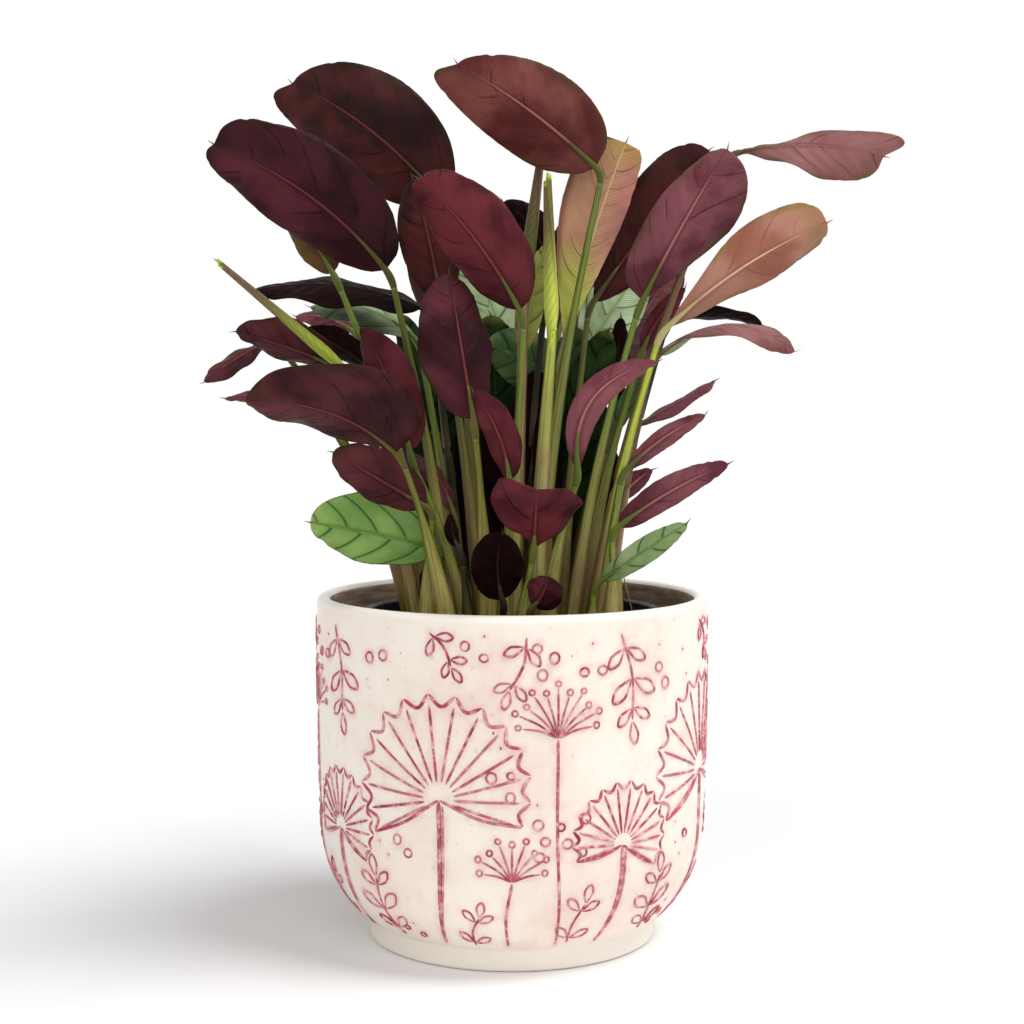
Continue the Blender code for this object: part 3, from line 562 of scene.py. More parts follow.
def wash_pad_material(name):
    """Thin pink wash inside the leaflets and rings."""
    nodes = Nodes(name)
    patches = nodes.smooth(nodes.noise(140, 4), 0.3, 0.7)
    uneven = nodes.math("MULTIPLY_ADD", patches, 0.8, 0.2)
    share = nodes.math("MULTIPLY", nodes.attribute("wash"), uneven, clamp=True)
    colour = nodes.mix(share, rgb(250, 232, 224), rgb(206, 96, 118))
    normal = nodes.bump(nodes.noise(400, 3), 0.0002, 0.3)
    return nodes.principled(Base_Color=colour, Roughness=0.27, Normal=normal, IOR=1.5)


def plastic_material(name):
    nodes = Nodes(name)
    dust = nodes.smooth(nodes.noise(120, 5), 0.45, 0.75)
    colour = nodes.mix(nodes.math("MULTIPLY", dust, 0.5), rgb(8, 8, 9), rgb(30, 27, 24))
    normal = nodes.bump(nodes.noise(1500, 2), 0.0001, 0.4)
    rough = nodes.math("MULTIPLY_ADD", dust, 0.3, 0.45)
    return nodes.principled(Base_Color=colour, Roughness=rough, Normal=normal, Specular_IOR_Level=0.2)


def ground_material(name, dark, light, scale):
    """Peat, perlite and fibres: broken up between two colours."""
    nodes = Nodes(name)
    lumps = nodes.smooth(nodes.noise(scale, 6), 0.35, 0.7)
    colour = nodes.mix(lumps, dark, light)
    normal = nodes.bump(nodes.noise(scale * 3, 5), 0.0012, 0.9)
    return nodes.principled(Base_Color=colour, Roughness=0.93, Normal=normal)


def salmon_material(name):
    """Underside of the newest leaf: lime at its base, salmon above, with fine oblique veins."""
    nodes = Nodes(name)
    along, across = nodes.attribute("along"), nodes.attribute("across")
    warm = nodes.smooth(nodes.math("MULTIPLY_ADD", nodes.noise(40, 3), 0.16, along), 0.32, 0.66)
    colour = nodes.mix(warm, rgb(206, 216, 96), rgb(192, 140, 114))
    pink = nodes.math("MULTIPLY", nodes.smooth(across, 0.1, 0.6), warm)
    colour = nodes.mix(pink, colour, rgb(182, 118, 112))
    top = nodes.smooth(along, 0.84, 1.0, 0.0, 0.85)
    colour = nodes.mix(top, colour, rgb(176, 138, 72))
    patches = nodes.smooth(nodes.noise(90, 4), 0.35, 0.68, 0.0, 0.3)
    colour = nodes.mix(patches, colour, rgb(210, 176, 124))
    fine = vein_lines(nodes, 1.7, 2)
    colour = nodes.mix(nodes.math("MULTIPLY", fine, 0.24), colour, rgb(120, 88, 52))
    # Painted shade in the folds.
    colour = nodes.mix(nodes.math("MULTIPLY", creases(nodes, 9), 0.7), colour, rgb(84, 58, 38))
    # Painted shade inside the curled margin, and a painted highlight on its rolled outer edge.
    curl = nodes.smooth(across, -0.95, -0.66, 1.0, 0.0)
    curl = nodes.math("MULTIPLY", curl, nodes.smooth(along, 0.2, 0.5, 0.2, 0.9))
    colour = nodes.mix(curl, colour, rgb(112, 66, 52))
    lit = nodes.smooth(across, -1.0, -0.93, 0.7, 0.0)
    colour = nodes.mix(lit, colour, rgb(176, 120, 122))
    colour = nodes.mix(nodes.math("MULTIPLY", nodes.specks(70, 0.06), 0.7), colour, rgb(214, 200, 110))
    aside = nodes.math("ABSOLUTE", nodes.attribute("aside"))
    colour = nodes.mix(nodes.smooth(aside, 0.5, 1.4, 0.8, 0.0), colour, rgb(214, 190, 132))
    normal = nodes.bump(nodes.math("ADD", fine, creases(nodes, 9)), 0.0001, 0.5)
    return nodes.principled(Base_Color=nodes.shaded(colour), Roughness=0.5, Normal=normal,
                            Specular_IOR_Level=UNDER_GLOSS)


def roll_material(name, base, tip, edge):
    """A leaf still rolled up: long oblique lines, and its colour changing towards the tip."""
    nodes = Nodes(name)
    along, across = nodes.attribute("along"), nodes.attribute("across")
    lines = nodes.math("MULTIPLY_ADD", along, 5.0, nodes.math("MULTIPLY", across, 2.0))
    wave = nodes.math("SINE", nodes.math("MULTIPLY", lines, 2 * math.pi * 3))
    colour = nodes.mix(nodes.smooth(along, 0.15, 0.75), base, tip)
    streak = nodes.smooth(wave, 0.2, 1.0)
    dark = nodes.mix(1.0, colour, (0.5, 0.5, 0.45), blend="MULTIPLY")
    colour = nodes.mix(nodes.math("MULTIPLY", streak, 0.45), colour, dark)
    seam = nodes.smooth(across, 0.93, 1.0)
    colour = nodes.mix(nodes.math("MULTIPLY", seam, 0.7), colour, edge)
    colour = nodes.mix(nodes.smooth(along, 0.965, 0.985), colour, rgb(168, 200, 40))
    normal = nodes.bump(wave, 0.0002, 0.4)
    return nodes.principled(Base_Color=colour, Roughness=0.45, Normal=normal,
                            Specular_IOR_Level=LEAF_GLOSS)


def floor_material(name):
    """Pale floor that takes the object's shadow and shows as white to the camera where none falls."""
    nodes = Nodes(name)
    rays = nodes.add("LightPath")
    seen = nodes.math("MAXIMUM", rays.outputs["Is Camera Ray"],
                      nodes.math("MAXIMUM", rays.outputs["Is Glossy Ray"],
                                 rays.outputs["Is Transmission Ray"]))
    diffuse = nodes.add("BsdfDiffuse", {"Color": rgb(*FLOOR_COLOUR)})
    glow = nodes.add("Emission", {"Color": (1, 1, 1), "Strength": nodes.math("MULTIPLY", seen, FLOOR_GLOW)})
    both = nodes.add("AddShader")
    nodes.tree.links.new(diffuse.outputs[0], both.inputs[0])
    nodes.tree.links.new(glow.outputs[0], both.inputs[1])
    nodes.tree.links.new(both.outputs[0], nodes.output.inputs["Surface"])
    return nodes.material


# deep and light patches, midrib, edge
UNDERSIDES = {
    "under_plum": ((40, 7, 13), (86, 34, 44), (124, 52, 56), (48, 30, 18)),
    "under_wine": ((42, 12, 16), (92, 42, 46), (116, 54, 52), (52, 34, 20)),
    "under_claret": ((54, 11, 18), (104, 40, 48), (124, 58, 56), (58, 30, 26)),
    "under_brown_wine": ((38, 14, 12), (84, 36, 34), (122, 54, 48), (38, 26, 12)),
    "under_crown": ((82, 30, 30), (126, 70, 64), (168, 108, 88), (78, 60, 40)),
    # Painted shade: a near-black copy of the wine underside.
    "under_night": ((12, 4, 3), (30, 10, 11), (54, 26, 22), (30, 20, 10)),
    # The next two are lighter and pinker for the leaves on the right: partly their own colour, partly painted
    # light from the right.
    "under_rose": ((92, 40, 50), (138, 80, 88), (176, 118, 108), (100, 74, 58)),
    "under_mauve": ((112, 64, 66), (146, 98, 96), (146, 92, 84), (104, 86, 54)),
    "under_olive": ((76, 50, 22), (120, 88, 46), (118, 96, 50), (78, 66, 30)),
    "under_orange": ((156, 96, 78), (184, 132, 112), (228, 196, 170), (140, 114, 64)),
}

# Finishes that are painted shade; they take the lowest gloss.
PAINTED_SHADE_FINISHES = {"under_night", "upper_dark"}

# pale and deep ground, dark line, midrib
UPPERS = {
    "upper_fresh": ((146, 178, 96), (98, 140, 60), (18, 50, 18), (86, 136, 34)),
    "upper_pale": ((164, 180, 128), (116, 142, 86), (36, 60, 28), (120, 146, 72)),
    "upper_mint": ((196, 212, 170), (160, 184, 134), (46, 84, 46), (140, 166, 104)),
    "upper_mid": ((84, 108, 56), (50, 78, 36), (14, 34, 14), (84, 110, 48)),
    # Painted shade: a darker copy of the mid upper face.
    "upper_dark": ((44, 66, 32), (20, 38, 14), (4, 14, 4), (46, 66, 28)),
    "upper_yellow": ((160, 160, 74), (126, 132, 52), (76, 84, 34), (150, 156, 68)),
}

# foot, top, pulvinus
STEMS = {
    "stem_olive": ((164, 154, 80), (112, 114, 42), (92, 84, 36)),
    "stem_green": ((176, 168, 94), (128, 146, 54), (98, 110, 42)),
    "stem_lime": ((172, 162, 98), (192, 208, 72), (196, 184, 124)),
    "stem_brown": ((172, 140, 104), (136, 106, 70), (104, 84, 50)),
    # Painted shade: a darker copy of the olive petiole.
    "stem_dark": ((74, 72, 34), (42, 42, 16), (34, 28, 14)),
}

# base, tip, edge of the roll
ROLLS = {
    "roll_green": ((160, 176, 58), (124, 96, 70), (170, 140, 112)),
    "roll_lime": ((206, 218, 92), (116, 104, 58), (234, 240, 160)),
    "roll_brown": ((92, 98, 42), (116, 84, 64), (164, 122, 106)),
}


def colours(*written):
    return [rgb(*colour) for colour in written]


def finish(name):
    """Return the material of that name, made on first use."""
    known = bpy.data.materials.get(name)
    if known:
        return known
    dark = name in PAINTED_SHADE_FINISHES
    if name in UNDERSIDES:
        return under_material(name, *colours(*UNDERSIDES[name]), DARK_GLOSS if dark else UNDER_GLOSS)
    if name in UPPERS:
        return upper_material(name, *colours(*UPPERS[name]), DARK_GLOSS if dark else LEAF_GLOSS)
    if name in STEMS:
        return stem_material(name, *colours(*STEMS[name]))
    if name in ROLLS:
        return roll_material(name, *colours(*ROLLS[name]))
    if name == "peat":
        return ground_material(name, rgb(9, 6, 5), rgb(46, 33, 24), 420)
    if name == "perlite":
        return ground_material(name, rgb(196, 188, 172), rgb(232, 226, 214), 500)
    if name == "fibre":
        return ground_material(name, rgb(150, 108, 72), rgb(196, 158, 116), 300)
    makers = {"outer_glaze": outer_glaze_material, "inner_glaze": inner_glaze_material,
              "wash_line": wash_line_material, "wash_pad": wash_pad_material,
              "moulded_plastic": plastic_material, "under_salmon": salmon_material,
              "floor": floor_material}
    return makers[name](name)


# ---------------------------------------------------------------- leaf shapes

def bezier(start, start_handle, end_handle, end, share):
    """Return the point at a share of the way along a cubic curve."""
    rest = 1 - share
    return (start * rest ** 3 + start_handle * (3 * rest * rest * share)
            + end_handle * (3 * rest * share * share) + end * share ** 3)


class Course:
    """The line that a leaf follows from the soil to its tip, as in the part's source."""

    def __init__(self, foot, base, tip, sway=0, bow=0, roll=0, twist=0):
        self.foot = Vector((*foot, SOIL_TOP + FIT_GAP))
        self.base = Vector(base)
        self.tip = Vector(tip)
        self.chord = self.tip - self.base
        self.along = self.chord.normalized()
        self.facing = (FRONT - self.along * FRONT.dot(self.along)).normalized()
        self.right = self.along.cross(self.facing)
        self.bend = self.facing * bow + self.right * sway
        self.roll = roll
        self.twist = twist
        start = (self.chord + self.bend * 4).normalized()
        self.knee = self.base - start * PULVINUS / 2
        reach = (self.knee - self.foot).length
        out = Vector((self.base.x - self.foot.x, self.base.y - self.foot.y, 0))
        self.rise = self.foot + UP * reach * CLIMB + out * LEAN
        arriving = (self.knee - self.rise).normalized()
        self.joint = self.knee - arriving * PULVINUS / 2
        self.run_in = self.joint - arriving * reach * ARRIVE

    def stem(self, share):
        """Point on the petiole for 0 to 1, and on the pulvinus for 1 to 2."""
        if share <= 1:
            return bezier(self.foot, self.rise, self.run_in, self.joint, share)
        share -= 1
        rest = 1 - share
        return self.joint * rest ** 2 + self.knee * (2 * rest * share) + self.base * share ** 2

    def midrib(self, share):
        """Point on the blade's midrib, 0 at its base and 1 at its tip."""
        return self.base + self.chord * share + self.bend * 4 * share * (1 - share)

    def stem_axes(self, share):
        """Two directions across the stem."""
        ahead = (self.stem(min(share + GLANCE, 2)) - self.stem(max(share - GLANCE, 0))).normalized()
        side = self.right if abs(self.right.dot(ahead)) < NEARLY_ALONG else self.facing
        side = (side - ahead * side.dot(ahead)).normalized()
        return side, side.cross(ahead)

    def blade_axes(self, share):
        """Directions to the blade's right and out of the face that it turns to the front."""
        ahead = (self.midrib(min(share + GLANCE, 1)) - self.midrib(max(share - GLANCE, 0))).normalized()
        angle = math.radians(self.roll + self.twist * (share - 0.5))
        out = Matrix.Rotation(angle, 3, self.along) @ self.facing
        out = (out - ahead * out.dot(ahead)).normalized()
        return ahead.cross(out), out


def side_value(value, across):
    """Pick the left or right one of a pair, or a value that both sides share."""
    if isinstance(value, tuple):
        return value[across > 0]
    return value


def half_width(share, width, belly, full, end):
    """Half the blade's width at a share of its length."""
    bluntness = full + (end - full) * share
    return width / 2 * abs(math.sin(math.pi * share ** belly)) ** bluntness


def stem_radius(share, sheath):
    """Radius of a petiole: a wide sheath at its foot, a slim neck, and a swollen pulvinus."""
    if share > 2:
        return PETIOLE_TOP_RADIUS * (1.05 - 2.6 * (share - 2))
    if share > 1:
        return PETIOLE_TOP_RADIUS * (1.05 + 0.22 * math.sin(math.pi * (share - 1)))
    thin = PETIOLE_FOOT_RADIUS + (PETIOLE_TOP_RADIUS - PETIOLE_FOOT_RADIUS) * share ** PETIOLE_TAPER
    return thin * (1 + (sheath - 1) * max(0, 1 - share / SHEATH_TOP) ** 0.8)


class Skin:
    """Collects the points, faces, slots and attributes of one leaf."""

    def __init__(self):
        self.points = []
        self.faces = []
        self.slots = []
        self.values = {"along": [], "across": [], "aside": [], "vein": [], "shade": []}

    def add(self, point, along, across, aside=9.0, vein=0.0, shade=1.0):
        self.points.append(point)
        for key, value in zip(self.values, (along, across, aside, vein, shade)):
            self.values[key].append(value)
        return len(self.points) - 1

    def face(self, corners, slot):
        self.faces.append(corners)
        self.slots.append(slot)

    def grid(self, rows, slot, closed=False, flip=False):
        """Join rows of point numbers with quads."""
        for low, high in zip(rows, rows[1:]):
            steps = len(low) if closed else len(low) - 1
            for step in range(steps):
                after = (step + 1) % len(low)
                corners = (low[step], low[after], high[after], high[step])
                self.face(corners[::-1] if flip else corners, slot)

    def tube(self, rows, slot):
        """Join closed rows of point numbers and cap both ends."""
        self.grid(rows, slot, closed=True)
        self.face(tuple(rows[0][::-1]), slot)
        self.face(tuple(rows[-1]), slot)


def add_stem(skin, line, sheath, rng):
    """Add the petiole and the pulvinus: flattened and ridged where it sheathes, with a joint between."""
    shares = [(step / STEM_ROWS) ** 1.15 for step in range(STEM_ROWS + 1)]
    shares += [1.02, 1.12, 1.3, 1.5, 1.7, 1.9, 2.0, 2.04, 2.09, 2.15, 2.22]
    lap = rng.uniform(0, 2 * math.pi)
    # A random tone for each petiole, times painted shade that darkens the ones near the middle of the clump.
    outwards = min(1, line.foot.xy.length / OUTER_STEMS)
    tone_and_inner_painted_shade = rng.uniform(0.88, 1.12) * (INNER_PAINTED_SHADE + (1 - INNER_PAINTED_SHADE) * outwards)
    rows = []
    for index, share in enumerate(shares):
        if share <= 2:
            middle = line.stem(share)
            side, out = line.stem_axes(share)
        else:
            middle = line.midrib(share - 2)
            side, out = line.blade_axes(share - 2)
        radius = stem_radius(share, sheath)
        low = max(0, 1 - share / SHEATH_TOP)
        row = []
        for step in range(STEM_SIDES):
            angle = 2 * math.pi * step / STEM_SIDES
            ridge = 1 + 0.035 * math.cos(5 * angle + lap) * (share < 1)
            edge = 1 - 0.16 * low * max(0, math.cos(angle - lap)) ** 6
            spread = 1 + 0.35 * low * (sheath - 1)
            offset = side * math.cos(angle) * spread + out * math.sin(angle)
            point = middle + offset * radius * ridge * edge
            row.append(skin.add(point, share, step / STEM_SIDES, shade=tone_and_inner_painted_shade))
        rows.append(row)
    skin.tube(rows, STEM_SLOT)


def add_mucro(skin, line, rng):
    """Add the whisker that ends the midrib."""
    side, out = line.blade_axes(1)
    ahead = (line.along + side * rng.uniform(-0.5, 0.5) + out * rng.uniform(-0.2, 0.4)).normalized()
    rows = []
    for step in range(5):
        share = step / 4
        middle = line.tip + ahead * MUCRO * (share - 0.3) + out * 0.8 * share ** 2
        radius = 0.42 * (1 - share) + 0.06
        rows.append([skin.add(middle + (side * x + out * y) * radius, 0.97, 0.5)
                     for x, y in ((1, 0), (0, 1), (-1, 0), (0, -1))])
    skin.tube(rows, STEM_SLOT)


def curled(distance, half, degrees):
    """Place of a point across the blade when its margin curls forward: (aside, proud, angle)."""
    start = CURL_START * half
    if not degrees or distance <= start:
        return distance, 0.0, 0.0
    radius = (half - start) / math.radians(degrees)
    angle = (distance - start) / radius
    return start + radius * math.sin(angle), radius * (1 - math.cos(angle)), angle


def add_blade(skin, line, sizes, rng):
    """Add the blade: two faces with a rim, a raised midrib, waves, folds and a worn edge."""
    width, lop, cup, skew = (sizes[key] for key in ("width", "lop", "cup", "skew"))
    length = line.chord.length
    phase = rng.uniform(0, 2 * math.pi)
    wave_count = rng.uniform(1.6, 2.8)
    wave = min(1.5, 0.05 * width) * sizes["wave"]
    seed = rng.uniform(0, 90)
    fronts, backs = [], []
    for row in range(BLADE_ROWS + 1):
        share = 1 - (1 - row / BLADE_ROWS) ** 1.25
        side, out = line.blade_axes(share)
        middle = line.midrib(share)
        rib = 0.72 * (1 - share) ** 0.8 + 0.16
        least = PETIOLE_TOP_RADIUS * 0.8 if share < 0.5 else 0.2
        fade = min(1, 6 * share, 6 * (1 - share))
        front_row, back_row = [], []
        for column in range(BLADE_COLUMNS + 1):
            part = 2 * column / BLADE_COLUMNS - 1
            across = math.copysign(abs(part) ** 0.85, part)
            hand = 1 if across > 0 else -1
            half = half_width(share, width, side_value(sizes["belly"], across), sizes["full"],
                              side_value(sizes["end"], across))
            half = max(half, least) * (1 + hand * lop)
            distance = abs(half * across)
            edge = abs(across) ** 3
            place = share * length
            bite = noise.noise(Vector((place / 2.6, hand * 7, seed))) * 0.22
            bite += max(0, noise.noise(Vector((place / 3.4, hand * 9, seed)))) * 2.6 * share ** 6
            wide, proud, curl = curled(distance, half, side_value(sizes["curl"], across))
            ahead = abs(skew * distance) * share ** 3 if across * skew > 0 else 0
            vein = place - 0.45 * distance - 1.7 * distance ** 2 / width
            ripple = wave * edge * math.sin(2 * math.pi * wave_count * share + phase + 1.3 * hand)
            quilt = 0.2 * math.sin(2 * math.pi * vein / 7.5 + hand) * min(1, 3 * abs(across)) * (1 - edge)
            hollow = proud - cup * distance * abs(across) + (ripple + quilt) * fade
            spot = middle + side * hand * max(0, wide - bite * edge) + line.along * ahead + out * hollow
            normal = out * math.cos(curl) - side * hand * math.sin(curl)
            ridge = max(0.0, 1 - (distance / (rib * 1.2)) ** 2)
            thick = SHEET / 2 * (1 - 0.55 * edge)
            # Painted shade and painted light: each half of the blade takes its own shade value, blended to
            # their mean near the midrib. Painted shade deepens towards the blade's base, and the tip is
            # painted a little lighter.
            shade = side_value(sizes["shade"], across)
            shade += (mean_of(sizes["shade"]) - shade) * max(0, 1 - abs(across) * 6)
            shade *= 1.08 - 0.3 * (1 - share) ** 2
            values = (share, across, distance / rib, vein + (0.5 * BAND if across < 0 else 0), shade)
            front, back = thick + ridge * 0.42 * rib, thick + ridge * 0.10 * rib
            if sizes["upper"]:
                front, back = back, front
            front_row.append(skin.add(spot + normal * front, *values))
            back_row.append(skin.add(spot - normal * back, *values))
        fronts.append(front_row)
        backs.append(back_row)
    front_slot, back_slot = (UPPER_SLOT, UNDER_SLOT) if sizes["upper"] else (UNDER_SLOT, UPPER_SLOT)
    skin.grid(fronts, front_slot)
    skin.grid(backs, back_slot, flip=True)
    skin.grid([outer_loop(fronts), outer_loop(backs)], front_slot, closed=True)


def mean_of(value):
    """Mean of a pair, or the value itself."""
    return sum(value) / 2 if isinstance(value, tuple) else value


def outer_loop(rows):
    """The point numbers round the outside of a grid."""
    return ([row[0] for row in rows] + rows[-1][1:] + [row[-1] for row in rows[-2::-1]] + rows[0][-2:0:-1])


def make_leaf(name, width, look, lop=0, cup=0.22, belly=0.95, full=0.5, end=None, skew=0, sheath=1.3,
              wave=1.0, curl=0, shade=1.0, **course):
    """Make one open leaf in its look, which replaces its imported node."""
    under, upper, stem, shows_upper, slot = LOOKS[look]
    line = Course(**course)
    rng = random.Random(name)
    sizes = dict(width=width, lop=lop, cup=cup, belly=belly, full=full, end=full if end is None else end,
                 skew=skew, wave=wave, curl=curl, shade=shade, upper=shows_upper)
    skin = Skin()
    add_stem(skin, line, sheath, rng)
    add_blade(skin, line, sizes, rng)
    add_mucro(skin, line, rng)
    dress(name, skin, under, upper, stem)


def dress(name, skin, under, upper, stem):
    """Put a leaf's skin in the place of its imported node, if it has one."""
    finishes = [finish(under), finish(upper), finish(stem)]
    piece = new_piece(name + "_fine", skin.points, skin.faces, finishes, skin.slots, skin.values)
    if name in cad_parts:
        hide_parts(name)


def make_spear(name, roll_radius, foot_radius, tip_radius, look, **course):
    """Make one rolled leaf on its stem: the edge of the roll winds slowly round it."""
    under, upper, stem, _, slot = LOOKS[look]
    line = Course(**course)
    skin = Skin()
    neck = roll_radius * SPEAR_NECK
    rows = []
    for step in range(STEM_ROWS + 1):
        share = 2 * step / STEM_ROWS
        side, out = line.stem_axes(share)
        radius = foot_radius + (neck - foot_radius) * min(share, 1) ** 0.7
        row = []
        for part in range(STEM_SIDES * 2):
            angle = math.pi * part / STEM_SIDES
            offset = side * math.cos(angle) + out * math.sin(angle)
            ridge = 1 + 0.03 * math.cos(5 * angle)
            point = line.stem(share) + offset * radius * ridge
            row.append(skin.add(point, share * 0.48, part / STEM_SIDES / 2))
        rows.append(row)
    skin.tube(rows, STEM_SLOT)
    rows = []
    for step in range(BLADE_ROWS + 1):
        share = step / BLADE_ROWS
        side, out = line.blade_axes(share)
        widest = neck + (roll_radius - neck) * math.sin(math.pi / 2 * min(1, share / SPEAR_WIDEST))
        radius = widest + (tip_radius - roll_radius) * max(0, share - SPEAR_WIDEST) / (1 - SPEAR_WIDEST)
        row = []
        for part in range(STEM_SIDES * 2):
            turn = part / STEM_SIDES / 2
            angle = 2 * math.pi * turn + SPEAR_TURN * share
            lap = 1 + SPEAR_LAP * (turn - 0.5) * min(1, share * 8)
            slant = line.along * (turn - 0.5) * 3 * tip_radius * share ** 12
            offset = side * math.cos(angle) + out * math.sin(angle)
            row.append(skin.add(line.midrib(share) + offset * radius * lap + slant, share, turn))
        rows.append(row)
    skin.tube(rows, UNDER_SLOT)
    add_mucro(skin, line, random.Random(name))
    dress(name, skin, under, upper, stem)


# ---------------------------------------------------------------- planter

class Wall:
    """The planter's outer face, unrolled: around in millimetres at POT_RADIUS, up along its outline."""

    def __init__(self):
        self.outline = [Vector(point) for point in outer_outline()]
        self.lengths = [0.0]
        for low, high in zip(self.outline, self.outline[1:]):
            self.lengths.append(self.lengths[-1] + (high - low).length)
        self.top = self.lengths[-1]

    def place(self, around, up, lift=0.0):
        """Point of the wall, lifted off it, for a place on the unrolled face."""
        up = min(max(up, 0), self.top - 0.001)
        index = max(step for step, length in enumerate(self.lengths) if length <= up)
        low, high = self.outline[index], self.outline[index + 1]
        share = (up - self.lengths[index]) / (high - low).length
        radius, height = low.lerp(high, share)
        slope = (high - low).normalized()
        radius += slope.y * lift
        height -= slope.x * lift
        angle = around / POT_RADIUS - math.pi / 2
        return Vector((radius * math.cos(angle), radius * math.sin(angle), height))


def curve_points(corners, steps):
    """Return points along a cubic curve, both ends included."""
    vectors = [Vector(corner) for corner in corners]
    return [tuple(bezier(*vectors, step / steps)) for step in range(steps + 1)]


def outer_outline():
    """Outline of the planter's outer face, from above its foot to the start of its lip."""
    body = POT_RADIUS - 1.4
    corner = curve_points(((FOOT_RADIUS + 1.6, FOOT_HEIGHT + 0.7), (FOOT_RADIUS + 13.1, FOOT_HEIGHT + 10.5),
                           (body - 0.9, CORNER_TOP - 18), (body, CORNER_TOP)), 34)
    wall = curve_points(((body, CORNER_TOP), (POT_RADIUS - 0.5, CORNER_TOP + 30),
                         (POT_RADIUS + 0.2, CORNER_TOP + 66), (POT_RADIUS - 0.2, POT_HEIGHT - LIP_RADIUS)), 56)
    return corner + wall[1:]


def planter_outline():
    """Whole outline, from the middle of the foot's underside up, over the lip and down inside."""
    body = POT_RADIUS - 1.4
    foot = [(0, 0), (FOOT_RADIUS - 12, 0), (FOOT_RADIUS - 3, 0)]
    for step in range(7):
        angle = -math.pi / 2 + math.pi / 2 * step / 6
        foot.append((FOOT_RADIUS - FOOT_BEVEL + FOOT_BEVEL * math.cos(angle),
                     FOOT_BEVEL + FOOT_BEVEL * math.sin(angle)))
    foot += [(FOOT_RADIUS, FOOT_HEIGHT * 0.5), (FOOT_RADIUS, FOOT_HEIGHT - 0.8),
             (FOOT_RADIUS + 0.3, FOOT_HEIGHT + 0.1)]
    outside = outer_outline()
    lip_middle = (POT_RADIUS - 0.2 - LIP_RADIUS, POT_HEIGHT - LIP_RADIUS)
    lip = []
    for step in range(1, 14):
        angle = math.pi * step / 14
        lip.append((lip_middle[0] + LIP_RADIUS * math.cos(angle),
                    lip_middle[1] + LIP_RADIUS * math.sin(angle)))
    inside = [(radius - WALL, height) for radius, height in reversed(outside)
              if height >= CORNER_TOP][::2]
    hollow = curve_points(((body - WALL, CORNER_TOP), (body - WALL - 1, CORNER_TOP - 22),
                           (FOOT_RADIUS, FLOOR_THICKNESS + 4), (FOOT_RADIUS - 9, FLOOR_THICKNESS)), 12)
    return foot, outside, lip, inside + hollow[1:] + [(0, FLOOR_THICKNESS)]


def lathe(name, outline, segments, materials, slots=None, values=None):
    """Revolve an outline of (radius, height) that starts and ends on the axis or anywhere else."""
    points, rows = [], []
    for radius, height in outline:
        row = []
        if radius < 0.001:
            points.append((0, 0, height))
            row = [len(points) - 1]
        else:
            for step in range(segments):
                angle = 2 * math.pi * step / segments
                points.append((radius * math.cos(angle), radius * math.sin(angle), height))
                row.append(len(points) - 1)
        rows.append(row)
    faces, face_slots = [], []
    for index, (low, high) in enumerate(zip(rows, rows[1:])):
        for step in range(segments):
            after = (step + 1) % segments
            corners = [low[step % len(low)], low[after % len(low)],
                       high[after % len(high)], high[step % len(high)]]
            faces.append(tuple(dict.fromkeys(corners)))
            face_slots.append(slots[index] if slots else 0)
    return new_piece(name, points, faces, materials, face_slots, values and values(points))


# The planter's own ornament, drawn in millimetres on the unrolled wall. A stroke is a list of
# places with a width; a pad is the washed inside of an outline.

def smooth_path(places, step=1.4):
    """Points about a step apart on a smooth curve through the given places."""
    places = [Vector(place) for place in places]
    ends = [places[0] * 2 - places[1]] + places + [places[-1] * 2 - places[-2]]
    path = []
    for before, start, end, after in zip(ends, ends[1:], ends[2:], ends[3:]):
        count = max(2, round((end - start).length / step))
        for index in range(count):
            share = index / count
            square, cube = share ** 2, share ** 3
            path.append((start * 2 + (end - before) * share
                         + (before * 2 - start * 5 + end * 4 - after) * square
                         + (start * 3 - before - end * 3 + after) * cube) / 2)
    path.append(places[-1])
    return path


